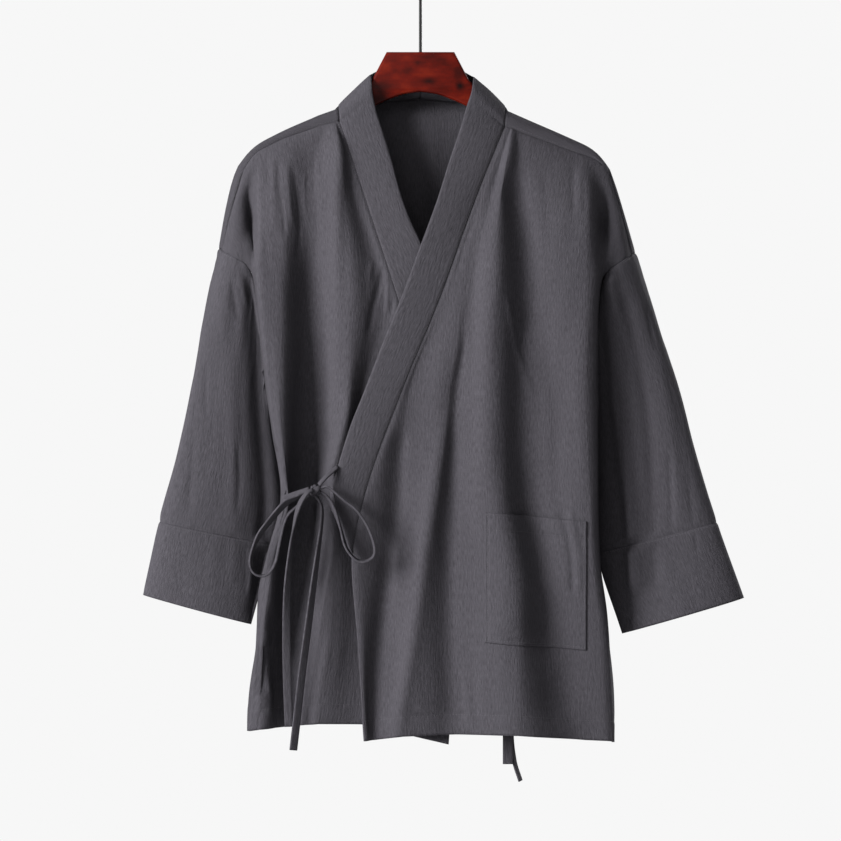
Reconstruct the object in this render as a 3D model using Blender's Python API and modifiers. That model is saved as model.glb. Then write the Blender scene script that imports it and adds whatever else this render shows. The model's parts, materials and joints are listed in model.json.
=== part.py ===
"""A hip-length wrap jacket for meditation, tied shut and hanging on a wooden hanger.

The jacket is built as it is sewn: two fronts, a back that wraps over the shoulders, two
sleeves with cuffs, a collar band in two halves, a patch pocket and four narrow ties.
The left front laps over the right one, so the bow sits at the wearer's right side.
Sizes are metres. X runs to the wearer's left, -Y is the front and +Z is up. The origin
is the inner top of the hanger's hook, which is where the whole thing hangs.
"""

import math
from collections import namedtuple

import bmesh
import bpy
import numpy as np

# Cloth
CLOTH = 0.0016
BAND_CLOTH = 0.0024
CUFF_CLOTH = 0.0020
POCKET_CLOTH = 0.0014
TIE_CLOTH = 0.0018
SEAM = 0.0008
SHOULDER_SEAM = 0.0020
SIDE_SEAM = 0.0021
LAID_ON = 0.0007

# Heights where the cross sections of the fronts and the back are given
LEVELS = (-0.292, -0.412, -0.532, -0.652, -0.724, -0.820)

# How fast a panel settles from the shoulder line to its hanging depth
FRONT_SETTLE = 0.035
BACK_SETTLE = 0.014

# Mesh divisions
ROWS_TO_UNDERARM = 9
ROWS_BELOW = 12
UNDERARM_FRACTION = 0.415
OVER_BOARD_FRACTION = 0.010
FRONT_STEPS = 3
BACK_STEPS = 2
SIDE_STEPS = 4
SLEEVE_ROWS = 10
CUFF_ROWS = 3
BAND_STEPS = 3

# The groove between body and sleeve cap, where the drop shoulder folds back
FRONT_GROOVE = 0.026
BACK_GROOVE = -0.010
GROOVE_END = 0.5
GROOVE_ACROSS = (0.0, 1.0, 0.45, 0.1, 0.0)
CAP_SMOOTHING = 2

# The side slits flare outwards at mid height
SLIT_TOP = -0.832
SLIT_FLARE = 0.003

# Sleeves
SLEEVE_HALF_DEPTH = 0.022
ARMHOLE_FADE = 0.42
CUFF_SEAM = 0.8
SLEEVE_HOLLOW = 0.005
SLEEVE_FRONT_START = 20.0

# Hanger
BOARD = 0.010
BOARD_STEPS = 9
BOARD_ROUND = 0.0035
CROWN_TOP = -0.111
WIRE = 0.0034
HOOK_INSIDE = 0.020
HOOK_ROOT = -0.052

TIE_WIDTH = 0.0098
INNER_TIE_WIDTH = 0.0122
KNOT_CENTRE = (-0.1255, -0.0600, -0.6405)
KNOT_RADII = (0.0078, 0.0070, 0.0072)
KNOT_SQUARENESS = 0.75

# One hanging fold or edge of a panel, from the shoulder to the hem.
# top and foot are (x, y, z); x and y hold one value for each of LEVELS.
Fold = namedtuple("Fold", "name top x y foot")

# One cross line of the collar band: the point on its free edge, and the height at which
# it meets the seam. No height is given behind the neck, where the back's edge sets it.
BandLine = namedtuple("BandLine", "free seam_height")

# One ribbon: its width, its number of steps and its route. Each row of the route is
# (x, y, z, turn); turn is 0 where the flat side faces the front and 90 where the edge does.
Ribbon = namedtuple("Ribbon", "name width steps route")

LEFT_FRONT = (
    Fold("edge", (0.102, -0.017, -0.202),
         (0.066, 0.023, -0.026, -0.068, -0.082, -0.075),
         (-0.034, -0.042, -0.046, -0.048, -0.048, -0.047), (-0.067, -0.046, -0.942)),
    Fold("hollow beside the band", (0.104, -0.017, -0.202),
         (0.070, 0.029, -0.014, -0.022, -0.032, -0.044),
         (-0.034, -0.042, -0.043, -0.037, -0.035, -0.036), (-0.055, -0.038, -0.941)),
    Fold("inner ridge", (0.106, -0.017, -0.203),
         (0.076, 0.050, 0.034, 0.019, 0.008, -0.005),
         (-0.035, -0.045, -0.050, -0.050, -0.050, -0.050), (-0.021, -0.050, -0.936)),
    Fold("inner hollow", (0.108, -0.017, -0.204),
         (0.082, 0.057, 0.044, 0.039, 0.034, 0.034),
         (-0.035, -0.045, -0.047, -0.043, -0.042, -0.042), (0.021, -0.043, -0.934)),
    Fold("long ridge", (0.111, -0.018, -0.205),
         (0.097, 0.090, 0.088, 0.091, 0.105, 0.112),
         (-0.044, -0.058, -0.062, -0.062, -0.062, -0.062), (0.117, -0.063, -0.934)),
    Fold("long hollow", (0.118, -0.017, -0.208),
         (0.123, 0.139, 0.151, 0.143, 0.157, 0.184),
         (-0.033, -0.042, -0.043, -0.044, -0.044, -0.045), (0.206, -0.042, -0.941)),
    Fold("outer ridge", (0.193, -0.015, -0.235),
         (0.197, 0.196, 0.198, 0.205, 0.213, 0.219),
         (-0.036, -0.052, -0.057, -0.057, -0.055, -0.050), (0.223, -0.042, -0.942)),
    Fold("side turn", (0.205, -0.014, -0.239),
         (0.209, 0.211, 0.213, 0.215, 0.218, 0.225),
         (-0.030, -0.044, -0.048, -0.048, -0.045, -0.038), (0.231, -0.036, -0.943)),
)

RIGHT_FRONT = (
    Fold("edge", (-0.098, -0.017, -0.196),
         (-0.066, -0.027, 0.011, 0.042, 0.049, 0.042),
         (-0.030, -0.036, -0.030, -0.027, -0.027, -0.027), (0.033, -0.028, -0.947)),
    Fold("hollow under the overlap", (-0.100, -0.017, -0.196),
         (-0.077, -0.045, -0.070, -0.082, -0.078, -0.070),
         (-0.025, -0.030, -0.029, -0.030, -0.028, -0.027), (-0.070, -0.027, -0.923)),
    Fold("long ridge", (-0.103, -0.017, -0.197),
         (-0.092, -0.083, -0.087, -0.109, -0.104, -0.109),
         (-0.038, -0.044, -0.042, -0.040, -0.038, -0.038), (-0.123, -0.036, -0.922)),
    Fold("deep hollow", (-0.119, -0.016, -0.201),
         (-0.138, -0.124, -0.121, -0.125, -0.136, -0.147),
         (-0.024, -0.022, -0.012, -0.008, -0.008, -0.012), (-0.154, -0.018, -0.926)),
    Fold("outer ridge", (-0.164, -0.015, -0.216),
         (-0.165, -0.169, -0.169, -0.159, -0.175, -0.188),
         (-0.033, -0.040, -0.042, -0.044, -0.038, -0.034), (-0.194, -0.034, -0.929)),
    Fold("side turn", (-0.199, -0.014, -0.233),
         (-0.198, -0.194, -0.182, -0.166, -0.183, -0.195),
         (-0.030, -0.038, -0.038, -0.041, -0.034, -0.029), (-0.205, -0.030, -0.931)),
)

BACK = (
    Fold("right side turn", (-0.192, 0.000, -0.219),
         (-0.193, -0.191, -0.186, -0.181, -0.186, -0.197),
         (0.028, 0.030, 0.014, 0.004, 0.006, 0.012), (-0.208, 0.018, -0.923)),
    Fold("right ridge", (-0.160, 0.000, -0.203),
         (-0.159, -0.159, -0.157, -0.150, -0.155, -0.159),
         (0.036, 0.042, 0.044, 0.042, 0.044, 0.046), (-0.164, 0.046, -0.925)),
    Fold("right hollow", (-0.124, 0.000, -0.186),
         (-0.122, -0.118, -0.110, -0.105, -0.108, -0.110),
         (0.028, 0.030, 0.030, 0.030, 0.030, 0.032), (-0.110, 0.032, -0.924)),
    Fold("right neck point", (-0.100, 0.001, -0.177),
         (-0.098, -0.094, -0.090, -0.085, -0.086, -0.088),
         (0.031, 0.034, 0.034, 0.034, 0.034, 0.036), (-0.090, 0.036, -0.926)),
    Fold("right inner ridge", (-0.068, 0.036, -0.171),
         (-0.057, -0.059, -0.056, -0.049, -0.052, -0.059),
         (0.040, 0.042, 0.042, 0.042, 0.042, 0.042), (-0.064, 0.042, -0.928)),
    Fold("centre hollow", (0.001, 0.050, -0.164),
         (0.001, 0.001, 0.001, 0.003, 0.004, 0.005),
         (0.036, 0.032, 0.030, 0.030, 0.030, 0.030), (0.007, 0.030, -0.932)),
    Fold("left inner ridge", (0.070, 0.036, -0.171),
         (0.056, 0.051, 0.058, 0.060, 0.065, 0.073),
         (0.042, 0.043, 0.043, 0.044, 0.044, 0.044), (0.078, 0.044, -0.936)),
    Fold("left neck point", (0.103, 0.001, -0.178),
         (0.100, 0.096, 0.098, 0.102, 0.106, 0.110),
         (0.031, 0.034, 0.034, 0.034, 0.034, 0.036), (0.114, 0.036, -0.938)),
    Fold("left hollow", (0.125, 0.000, -0.188),
         (0.124, 0.119, 0.121, 0.126, 0.131, 0.136),
         (0.028, 0.030, 0.030, 0.030, 0.030, 0.032), (0.143, 0.032, -0.939)),
    Fold("left ridge", (0.164, 0.000, -0.206),
         (0.170, 0.173, 0.173, 0.178, 0.183, 0.187),
         (0.038, 0.043, 0.044, 0.044, 0.044, 0.044), (0.195, 0.044, -0.942)),
    Fold("left side turn", (0.199, 0.000, -0.222),
         (0.214, 0.215, 0.216, 0.217, 0.219, 0.226),
         (0.028, 0.030, 0.022, 0.020, 0.018, 0.012), (0.232, 0.018, -0.942)),
)
NECK_FOLDS = (3, 7)

# Lines of each side, listed as points (x, y, z)
RIGHT_SIDE = {
    "armhole front": ((-0.240, -0.012, -0.352), (-0.230, -0.020, -0.357),
                      (-0.220, -0.023, -0.362), (-0.210, -0.023, -0.369),
                      (-0.203, -0.020, -0.382), (-0.199, -0.016, -0.408),
                      (-0.196, -0.012, -0.446), (-0.193, -0.009, -0.490),
                      (-0.190, 0.001, -0.527)),
    "armhole back": ((-0.245, 0.005, -0.350), (-0.240, 0.016, -0.352),
                     (-0.232, 0.025, -0.356), (-0.220, 0.028, -0.361),
                     (-0.208, 0.026, -0.372), (-0.200, 0.021, -0.400),
                     (-0.196, 0.017, -0.440), (-0.193, 0.012, -0.486),
                     (-0.190, 0.001, -0.527)),
    "cap seam": ((-0.199, -0.014, -0.233), (-0.210, -0.013, -0.246),
                 (-0.220, -0.012, -0.275), (-0.230, -0.012, -0.310),
                 (-0.240, -0.012, -0.352)),
    "cap ridge": ((-0.192, 0.000, -0.219), (-0.208, 0.000, -0.231),
                  (-0.226, 0.001, -0.258), (-0.237, 0.003, -0.300),
                  (-0.245, 0.005, -0.350)),
    "forward seam": ((-0.098, -0.017, -0.196), (-0.119, -0.016, -0.201),
                     (-0.164, -0.015, -0.216), (-0.199, -0.014, -0.233)),
    "side seam": ((-0.190, 0.001, -0.527), (-0.184, -0.008, -0.572),
                  (-0.170, -0.029, -0.640), (-0.184, -0.019, -0.718),
                  (-0.194, -0.011, -0.790), (-0.198, -0.012, -0.832)),
    "front slit foot": (-0.209, -0.022, -0.931),
    "back slit foot": (-0.210, 0.004, -0.925),
    "sleeve fold": ((-0.245, 0.005, -0.350), (-0.263, 0.000, -0.433),
                    (-0.278, -0.003, -0.515), (-0.295, -0.004, -0.598),
                    (-0.316, -0.004, -0.680), (-0.335, -0.004, -0.768)),
    "sleeve seam": ((-0.190, 0.001, -0.527), (-0.193, 0.000, -0.573),
                    (-0.193, -0.002, -0.618), (-0.192, -0.004, -0.663),
                    (-0.192, -0.004, -0.708), (-0.206, -0.004, -0.803)),
}

LEFT_SIDE = {
    "armhole front": ((0.255, -0.012, -0.357), (0.247, -0.020, -0.362),
                      (0.238, -0.023, -0.368), (0.229, -0.023, -0.375),
                      (0.2235, -0.020, -0.387), (0.221, -0.016, -0.411),
                      (0.220, -0.012, -0.447), (0.221, -0.009, -0.490),
                      (0.223, 0.001, -0.527)),
    "armhole back": ((0.261, 0.005, -0.355), (0.256, 0.016, -0.357),
                     (0.249, 0.025, -0.360), (0.239, 0.028, -0.366),
                     (0.230, 0.026, -0.377), (0.225, 0.021, -0.402),
                     (0.224, 0.017, -0.442), (0.223, 0.012, -0.486),
                     (0.223, 0.001, -0.527)),
    "cap seam": ((0.205, -0.014, -0.239), (0.222, -0.013, -0.246),
                 (0.234, -0.012, -0.277), (0.245, -0.012, -0.315),
                 (0.255, -0.012, -0.357)),
    "cap ridge": ((0.199, 0.000, -0.222), (0.216, 0.000, -0.234),
                  (0.232, 0.001, -0.262), (0.247, 0.003, -0.308),
                  (0.261, 0.005, -0.355)),
    "forward seam": ((0.102, -0.017, -0.202), (0.118, -0.017, -0.208),
                     (0.193, -0.015, -0.235), (0.205, -0.014, -0.239)),
    "side seam": ((0.223, 0.001, -0.527), (0.222, 0.001, -0.590),
                  (0.222, 0.000, -0.652), (0.222, -0.004, -0.724),
                  (0.225, -0.010, -0.790), (0.228, -0.014, -0.832)),
    "front slit foot": (0.233, -0.030, -0.944),
    "back slit foot": (0.234, 0.004, -0.942),
    "sleeve fold": ((0.261, 0.005, -0.355), (0.286, 0.000, -0.437),
                    (0.312, -0.003, -0.518), (0.334, -0.004, -0.600),
                    (0.358, -0.004, -0.681), (0.390, -0.004, -0.771)),
    "sleeve seam": ((0.223, 0.001, -0.527), (0.226, 0.000, -0.575),
                    (0.227, -0.002, -0.622), (0.227, -0.004, -0.670),
                    (0.227, -0.004, -0.717), (0.245, -0.004, -0.814)),
}

LEFT_BAND = (
    BandLine((0.001, 0.047, -0.121), None),
    BandLine((0.031, 0.042, -0.124), None),
    BandLine((0.050, 0.031, -0.131), None),
    BandLine((0.060, 0.014, -0.138), None),
    BandLine((0.064, 0.001, -0.142), None),
    BandLine((0.062, -0.016, -0.158), None),
    BandLine((0.056, -0.022, -0.177), -0.212),
    BandLine((0.048, -0.030, -0.205), -0.232),
    BandLine((0.035, -0.036, -0.244), -0.265),
    BandLine((0.020, -0.040, -0.292), -0.310),
    BandLine((0.001, -0.043, -0.344), -0.358),
    BandLine((-0.023, -0.045, -0.409), -0.426),
    BandLine((-0.046, -0.046, -0.466), -0.481),
    BandLine((-0.068, -0.048, -0.523), -0.540),
    BandLine((-0.085, -0.049, -0.566), -0.586),
    BandLine((-0.099, -0.050, -0.612), -0.636),
    BandLine((-0.105, -0.050, -0.638), -0.669),
    BandLine((-0.096, -0.050, -0.678), -0.700),
    BandLine((-0.087, -0.049, -0.709), -0.718),
)

RIGHT_BAND = (
    BandLine((0.001, 0.047, -0.121), None),
    BandLine((-0.030, 0.042, -0.124), None),
    BandLine((-0.048, 0.030, -0.130), None),
    BandLine((-0.058, 0.014, -0.136), None),
    BandLine((-0.0595, 0.001, -0.1385), None),
    BandLine((-0.0585, -0.016, -0.156), None),
    BandLine((-0.054, -0.020, -0.180), -0.208),
    BandLine((-0.044, -0.026, -0.213), -0.229),
    BandLine((-0.034, -0.031, -0.246), -0.259),
    BandLine((-0.025, -0.034, -0.280), -0.294),
    BandLine((-0.013, -0.036, -0.314), -0.330),
    BandLine((0.001, -0.037, -0.344), -0.366),
    BandLine((0.017, -0.036, -0.382), -0.409),
    BandLine((0.035, -0.034, -0.430), -0.459),
    BandLine((0.052, -0.032, -0.482), -0.508),
    BandLine((0.066, -0.030, -0.532), -0.556),
    BandLine((0.074, -0.028, -0.580), -0.607),
    BandLine((0.076, -0.027, -0.617), -0.653),
    BandLine((0.066, -0.027, -0.659), -0.689),
    BandLine((0.054, -0.027, -0.708), -0.718),
)

# Corners of the patch pocket on the left front, as (x, z)
POCKET_CORNERS = {
    "top inner": (0.077, -0.667),
    "top outer": (0.199, -0.678),
    "bottom inner": (0.077, -0.823),
    "bottom outer": (0.199, -0.833),
}

TIES = (
    Ribbon("tie_side", TIE_WIDTH, 6, (
        (-0.1645, -0.0472, -0.6490, 30), (-0.1560, -0.0492, -0.6455, 35),
        (-0.1450, -0.0525, -0.6405, 40), (-0.1350, -0.0545, -0.6355, 40))),
    Ribbon("tie_overlap", TIE_WIDTH, 5, (
        (-0.0990, -0.0526, -0.6120, 0), (-0.1040, -0.0540, -0.6165, 15),
        (-0.1110, -0.0555, -0.6225, 30), (-0.1205, -0.0565, -0.6300, 40))),
    Ribbon("bow_loop_side", TIE_WIDTH, 26, (
        (-0.1349, -0.0622, -0.6407, 82), (-0.1472, -0.0640, -0.6485, 64),
        (-0.1597, -0.0640, -0.6545, 48), (-0.1705, -0.0635, -0.6653, 50),
        (-0.1842, -0.0620, -0.6820, 55), (-0.1939, -0.0605, -0.6952, 65),
        (-0.2016, -0.0590, -0.7143, 78), (-0.2040, -0.0580, -0.7275, 84),
        (-0.2004, -0.0575, -0.7383, 84), (-0.1920, -0.0575, -0.7430, 84),
        (-0.1825, -0.0575, -0.7406, 84), (-0.1741, -0.0580, -0.7275, 80),
        (-0.1693, -0.0585, -0.7060, 78), (-0.1645, -0.0590, -0.6840, 78),
        (-0.1590, -0.0595, -0.6700, 78), (-0.1500, -0.0600, -0.6615, 82),
        (-0.1349, -0.0602, -0.6468, 84))),
    Ribbon("bow_loop_front", TIE_WIDTH, 26, (
        (-0.1176, -0.0620, -0.6376, 98), (-0.1119, -0.0630, -0.6362, 98),
        (-0.1017, -0.0640, -0.6437, 98), (-0.0907, -0.0640, -0.6533, 98),
        (-0.0748, -0.0640, -0.6665, 98), (-0.0628, -0.0635, -0.6856, 98),
        (-0.0556, -0.0630, -0.7060, 98), (-0.0556, -0.0625, -0.7179, 98),
        (-0.0628, -0.0625, -0.7245, 98), (-0.0724, -0.0620, -0.7255, 98),
        (-0.0820, -0.0615, -0.7191, 98), (-0.0903, -0.0610, -0.7060, 100),
        (-0.0963, -0.0605, -0.6850, 100), (-0.1035, -0.0605, -0.6641, 100),
        (-0.1110, -0.0605, -0.6500, 100), (-0.1172, -0.0605, -0.6435, 100))),
    Ribbon("tie_tail_side", TIE_WIDTH, 15, (
        (-0.1296, -0.0597, -0.6478, 74), (-0.1385, -0.0590, -0.6585, 72),
        (-0.1475, -0.0580, -0.6710, 66), (-0.1560, -0.0560, -0.7060, 50),
        (-0.1600, -0.0515, -0.7600, 35), (-0.1608, -0.0450, -0.8200, 15),
        (-0.1603, -0.0400, -0.8680, 5), (-0.1583, -0.0382, -0.9250, 0))),
    Ribbon("tie_tail_front", TIE_WIDTH, 17, (
        (-0.1260, -0.0600, -0.6488, 85), (-0.1196, -0.0590, -0.6560, 80),
        (-0.1178, -0.0580, -0.6660, 78), (-0.1190, -0.0565, -0.6850, 75),
        (-0.1226, -0.0550, -0.7119, 65), (-0.1290, -0.0515, -0.7598, 48),
        (-0.1352, -0.0470, -0.8076, 38), (-0.1424, -0.0430, -0.8615, 30),
        (-0.1485, -0.0405, -0.9158, 28), (-0.1528, -0.0400, -0.9531, 28))),
    Ribbon("inner_tie_under", INNER_TIE_WIDTH, 14, (
        (0.0770, -0.0243, -0.6170, 0), (0.0850, -0.0235, -0.6300, 0),
        (0.0960, -0.0190, -0.6500, 0), (0.1035, -0.0160, -0.6780, 0),
        (0.1050, -0.0150, -0.7500, 0), (0.1052, -0.0140, -0.8500, 0),
        (0.1055, -0.0130, -0.9000, 0), (0.1055, -0.0120, -0.9720, 0))),
    Ribbon("inner_tie_side", TIE_WIDTH, 20, (
        (0.2168, -0.0080, -0.6500, 0), (0.1900, -0.0095, -0.6640, 0),
        (0.1500, -0.0105, -0.6720, 0), (0.1230, -0.0110, -0.6760, 10),
        (0.1120, -0.0090, -0.7000, 20), (0.1080, -0.0060, -0.8000, 35),
        (0.1085, -0.0050, -0.9200, 50), (0.1130, -0.0050, -0.9660, 65),
        (0.1210, -0.0050, -0.9930, 68))),
)


def clear_scene():
    """Remove every object that the scene starts with."""
    for obj in list(bpy.data.objects):
        bpy.data.objects.remove(obj, do_unlink=True)


def make_collection(name):
    """Return a new collection in the scene."""
    collection = bpy.data.collections.new(name)
    bpy.context.scene.collection.children.link(collection)
    return collection


def make_material(name, colour, roughness, metallic=0.0):
    """Return a plain Principled material."""
    material = bpy.data.materials.new(name)
    material.use_nodes = True
    shader = material.node_tree.nodes["Principled BSDF"]
    shader.inputs["Base Color"].default_value = (*colour, 1.0)
    shader.inputs["Roughness"].default_value = roughness
    shader.inputs["Metallic"].default_value = metallic
    return material


def smooth(stops, values, at):
    """Read a smooth line through (stops, values), without overshoot, at rising stops."""
    stops = np.asarray(stops, dtype=float)
    values = np.asarray(values, dtype=float)
    at = np.clip(at, stops[0], stops[-1])
    rise = np.diff(values, axis=0) / np.diff(stops).reshape([-1] + [1] * (values.ndim - 1))
    slope = np.empty_like(values)
    slope[0] = rise[0]
    slope[-1] = rise[-1]
    product = rise[:-1] * rise[1:]
    total = np.where(product > 0, rise[:-1] + rise[1:], 1.0)
    slope[1:-1] = np.where(product > 0, 2.0 * product / total, 0.0)
    i = int(np.clip(np.searchsorted(stops, at) - 1, 0, len(stops) - 2))
    gap = stops[i + 1] - stops[i]
    t = (at - stops[i]) / gap
    start = (1 + 2 * t) * (1 - t) ** 2 * values[i] + t * (1 - t) ** 2 * gap * slope[i]
    end = t * t * (3 - 2 * t) * values[i + 1] - t * t * (1 - t) * gap * slope[i + 1]
    return start + end


def read_line(points, places):
    """Return the points at the given places, from 0 to 1, of a smooth line through points."""
    points = np.asarray(points, dtype=float)
    stops = np.linspace(0.0, 1.0, len(points))
    return np.array([smooth(stops, points, place) for place in places])


def along(points, count):
    """Return count + 1 points spread evenly along a smooth line through points."""
    return read_line(points, np.linspace(0.0, 1.0, count + 1))


def armhole_line(side, part):
    """Return the points of an armhole edge, one for each row of the panel it belongs to."""
    return read_line(side["armhole " + part], armhole_places())


def fold_point(fold, fraction, settle):
    """Return the point of a fold at a fraction of its way from top to foot."""
    top = np.array(fold.top)
    foot = np.array(fold.foot)
    z = top[2] + (foot[2] - top[2]) * fraction
    drops = [-level for level in LEVELS]
    x = smooth([-top[2], *drops, -foot[2]], [top[0], *fold.x, foot[0]], -z)
    y = smooth([*drops, -foot[2]], [*fold.y, foot[1]], -z)
    y = top[1] + (y - top[1]) * (1.0 - math.exp(-(top[2] - z) / settle))
    return np.array([x, y, z])


def fold_at_height(fold, z, settle):
    """Return the point of a fold at a height."""
    return fold_point(fold, (z - fold.top[2]) / (fold.foot[2] - fold.top[2]), settle)


def row_fractions():
    """Return the fractions of the way down at which every panel has a row of points."""
    upper = np.linspace(0.0, UNDERARM_FRACTION, ROWS_TO_UNDERARM)
    lower = np.linspace(UNDERARM_FRACTION, 1.0, ROWS_BELOW + 1)
    return np.concatenate([upper[:1], [OVER_BOARD_FRACTION], upper[1:], lower[1:]])


def armhole_places():
    """Return where the rows above the underarm meet the armhole, from 0 to 1."""
    return row_fractions()[:ROWS_TO_UNDERARM + 1] / UNDERARM_FRACTION


def hang(folds, steps, settle):
    """Return the rows of points of a panel that hangs between its folds.

    Between two folds the cloth swings from ridge to hollow as half a cosine wave.
    """
    rows = []
    for fraction in row_fractions():
        ends = [fold_point(fold, fraction, settle) for fold in folds]
        row = [ends[0]]
        for before, after in zip(ends, ends[1:]):
            for step in range(1, steps + 1):
                t = step / steps
                point = before + (after - before) * t
                point[1] = before[1] + (after[1] - before[1]) * (1 - math.cos(math.pi * t)) / 2
                row.append(point)
        rows.append(row)
    return np.array(rows)


def side_line(side, part, sign):
    """Return the side seam and slit edge of the front or the back, below the underarm."""
    points = [np.array(point) for point in side["side seam"]]
    points.append(np.array(side[part + " slit foot"]))
    line = along(points, ROWS_BELOW)
    for point in line:
        if point[2] < SLIT_TOP:
            way = (point[2] - SLIT_TOP) / (points[-1][2] - SLIT_TOP)
            point[0] += math.copysign(SLIT_FLARE, point[0]) * math.sin(math.pi * way)
        point[1] += sign * SIDE_SEAM / 2
    return line


def side_patch(turn, top_line, armhole, lower_seam, groove):
    """Return the cloth from the side turn of a panel out to its armhole and side seam.

    Above the underarm it fills the four-sided cap of the drop shoulder and is pressed in
    by the groove beside the body. Below it runs straight from the turn to the seam.
    """
    places = armhole_places()
    last = turn[ROWS_TO_UNDERARM]
    cap = np.empty((ROWS_TO_UNDERARM + 1, SIDE_STEPS + 1, 3))
    for r, t in enumerate(places):
        for c in range(SIDE_STEPS + 1):
            s = c / SIDE_STEPS
            chord = (1 - s) * turn[0] + s * top_line[-1]
            cap[r, c] = (1 - s) * turn[r] + s * armhole[r] + (1 - t) ** 2 * (top_line[c] - chord)
    for repeat in range(CAP_SMOOTHING):
        around = cap[:-2, 1:-1] + cap[2:, 1:-1] + cap[1:-1, :-2] + cap[1:-1, 2:]
        cap[1:-1, 1:-1] = (cap[1:-1, 1:-1] + around / 4) / 2
    cap[0] = top_line
    cap[:, 0] = turn[:ROWS_TO_UNDERARM + 1]
    cap[:, -1] = armhole
    cap[-1] = [last + (armhole[-1] - last) * c / SIDE_STEPS for c in range(SIDE_STEPS + 1)]
    for r, t in enumerate(places):
        ramp = math.sin(math.pi * t / GROOVE_END) ** 2 if t < GROOVE_END else 0.0
        cap[r, :, 1] += groove * ramp * np.array(GROOVE_ACROSS)
    below = [[near + (far - near) * c / SIDE_STEPS for c in range(SIDE_STEPS + 1)]
             for near, far in zip(turn[ROWS_TO_UNDERARM + 1:], lower_seam[1:])]
    return np.concatenate([cap, np.array(below)])


def front_panel(folds, side):
    """Return the main and side patches of a front."""
    main = hang(folds, FRONT_STEPS, FRONT_SETTLE)
    top_line = along(side["cap seam"], SIDE_STEPS)
    top_line[0] = main[0, -1]
    armhole = armhole_line(side, "front")
    lower = side_line(side, "front", -1.0)
    armhole[-1] = lower[0]
    return [main, side_patch(main[:, -1], top_line, armhole, lower, FRONT_GROOVE)]


def back_panel():
    """Return the patches of the back, with the strips that come over each shoulder."""
    main = hang(BACK, BACK_STEPS, BACK_SETTLE)
    patches = [main]
    for side, column, neck in ((RIGHT_SIDE, 0, NECK_FOLDS[0]), (LEFT_SIDE, -1, NECK_FOLDS[1])):
        turn = main[:, column]
        ridge = along(side["cap ridge"], SIDE_STEPS)
        ridge[0] = turn[0]
        armhole = armhole_line(side, "back")
        lower = side_line(side, "back", 1.0)
        armhole[-1] = lower[0]
        patches.append(side_patch(turn, ridge, armhole, lower, BACK_GROOVE))
        shoulder = main[0, neck * BACK_STEPS:]
        if column == 0:
            shoulder = main[0, :neck * BACK_STEPS + 1][::-1]
        patches.append(shoulder_strip(shoulder, ridge, side))
    return patches


def shoulder_strip(shoulder, ridge, side):
    """Return the strip of the back between the shoulder ridge and the forward seam."""
    high = np.concatenate([shoulder, ridge[1:]])
    low = np.concatenate([along(side["forward seam"], len(shoulder) - 1),
                          along(side["cap seam"], SIDE_STEPS)[1:]])
    middle = (high + low) / 2 + np.array([0.0, -0.003, 0.003])
    inward = middle - low
    low = low + inward / np.linalg.norm(inward, axis=1)[:, None] * SHOULDER_SEAM
    return np.array([high, middle, low])


def sleeve_ring(side, fraction):
    """Return the closed ring of a sleeve at a fraction of its way from armhole to hem.

    The ring is an ellipse between the outer fold and the underarm seam. Near the body it
    bends to the armhole line. Point 0 lies on the shoulder seam, the rest follow the front
    down to the underarm and come back up behind.
    """
    stops = (0.0, 0.2, 0.4, 0.6, 0.8, 1.0)
    outer = smooth(stops, side["sleeve fold"], fraction)
    inner = smooth(stops, side["sleeve seam"], fraction)
    places = armhole_places()
    front = SLEEVE_FRONT_START + (180.0 - SLEEVE_FRONT_START) * places
    behind = 360.0 - 180.0 * places[::-1][1:]
    angles = np.radians(np.concatenate([front, behind]))
    fade = max(0.0, 1.0 - fraction / ARMHOLE_FADE) ** 2
    start_outer = np.array(side["sleeve fold"][0])
    start_inner = np.array(side["sleeve seam"][0])
    hole = np.concatenate([armhole_line(side, "front"), armhole_line(side, "back")[::-1][1:]])
    hole = hole + np.array([math.copysign(SIDE_SEAM, start_outer[0]), 0.0, -SHOULDER_SEAM])
    ring = []
    for angle, seam_point in zip(angles, hole):
        point = ellipse_point(outer, inner, angle)
        start = ellipse_point(start_outer, start_inner, angle)
        hollow = SLEEVE_HOLLOW * (1 - fade) * math.exp(-((math.degrees(angle) - 118.0) / 22.0) ** 2)
        point[1] += hollow
        ring.append(point + (seam_point - start) * fade)
    return np.array(ring)


def ellipse_point(outer, inner, angle):
    """Return a point of the flat ellipse whose long axis runs from outer to inner."""
    centre = (outer + inner) / 2
    point = centre + (outer - inner) / 2 * math.cos(angle)
    point[1] -= SLEEVE_HALF_DEPTH * math.sin(angle)
    return point


def sleeve_patch(side, start, end, rows):
    """Return the rings of a sleeve or cuff, from start to end, with the first point again."""
    rings = [sleeve_ring(side, start + (end - start) * r / rows) for r in range(rows + 1)]
    return np.array([np.concatenate([ring, ring[:1]]) for ring in rings])


def band_patch(lines, neck, strip_inner, edge):
    """Return the points of a collar half, from its free edge to its seam edge.

    Behind the neck the seam edge follows the back's edge, beside the neck the inner end of
    the shoulder strip, and below that the front's edge.
    """
    seams = list(neck) + [strip_inner]
    for line in lines[len(seams):]:
        seams.append(fold_at_height(edge, line.seam_height, FRONT_SETTLE))
    rows = []
    for line, seam in zip(lines, seams):
        free = np.array(line.free)
        reach = free - seam
        near = seam + reach / np.linalg.norm(reach) * SEAM
        rows.append([free + (near - free) * c / BAND_STEPS for c in range(BAND_STEPS + 1)])
    return np.array(rows)


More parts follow.
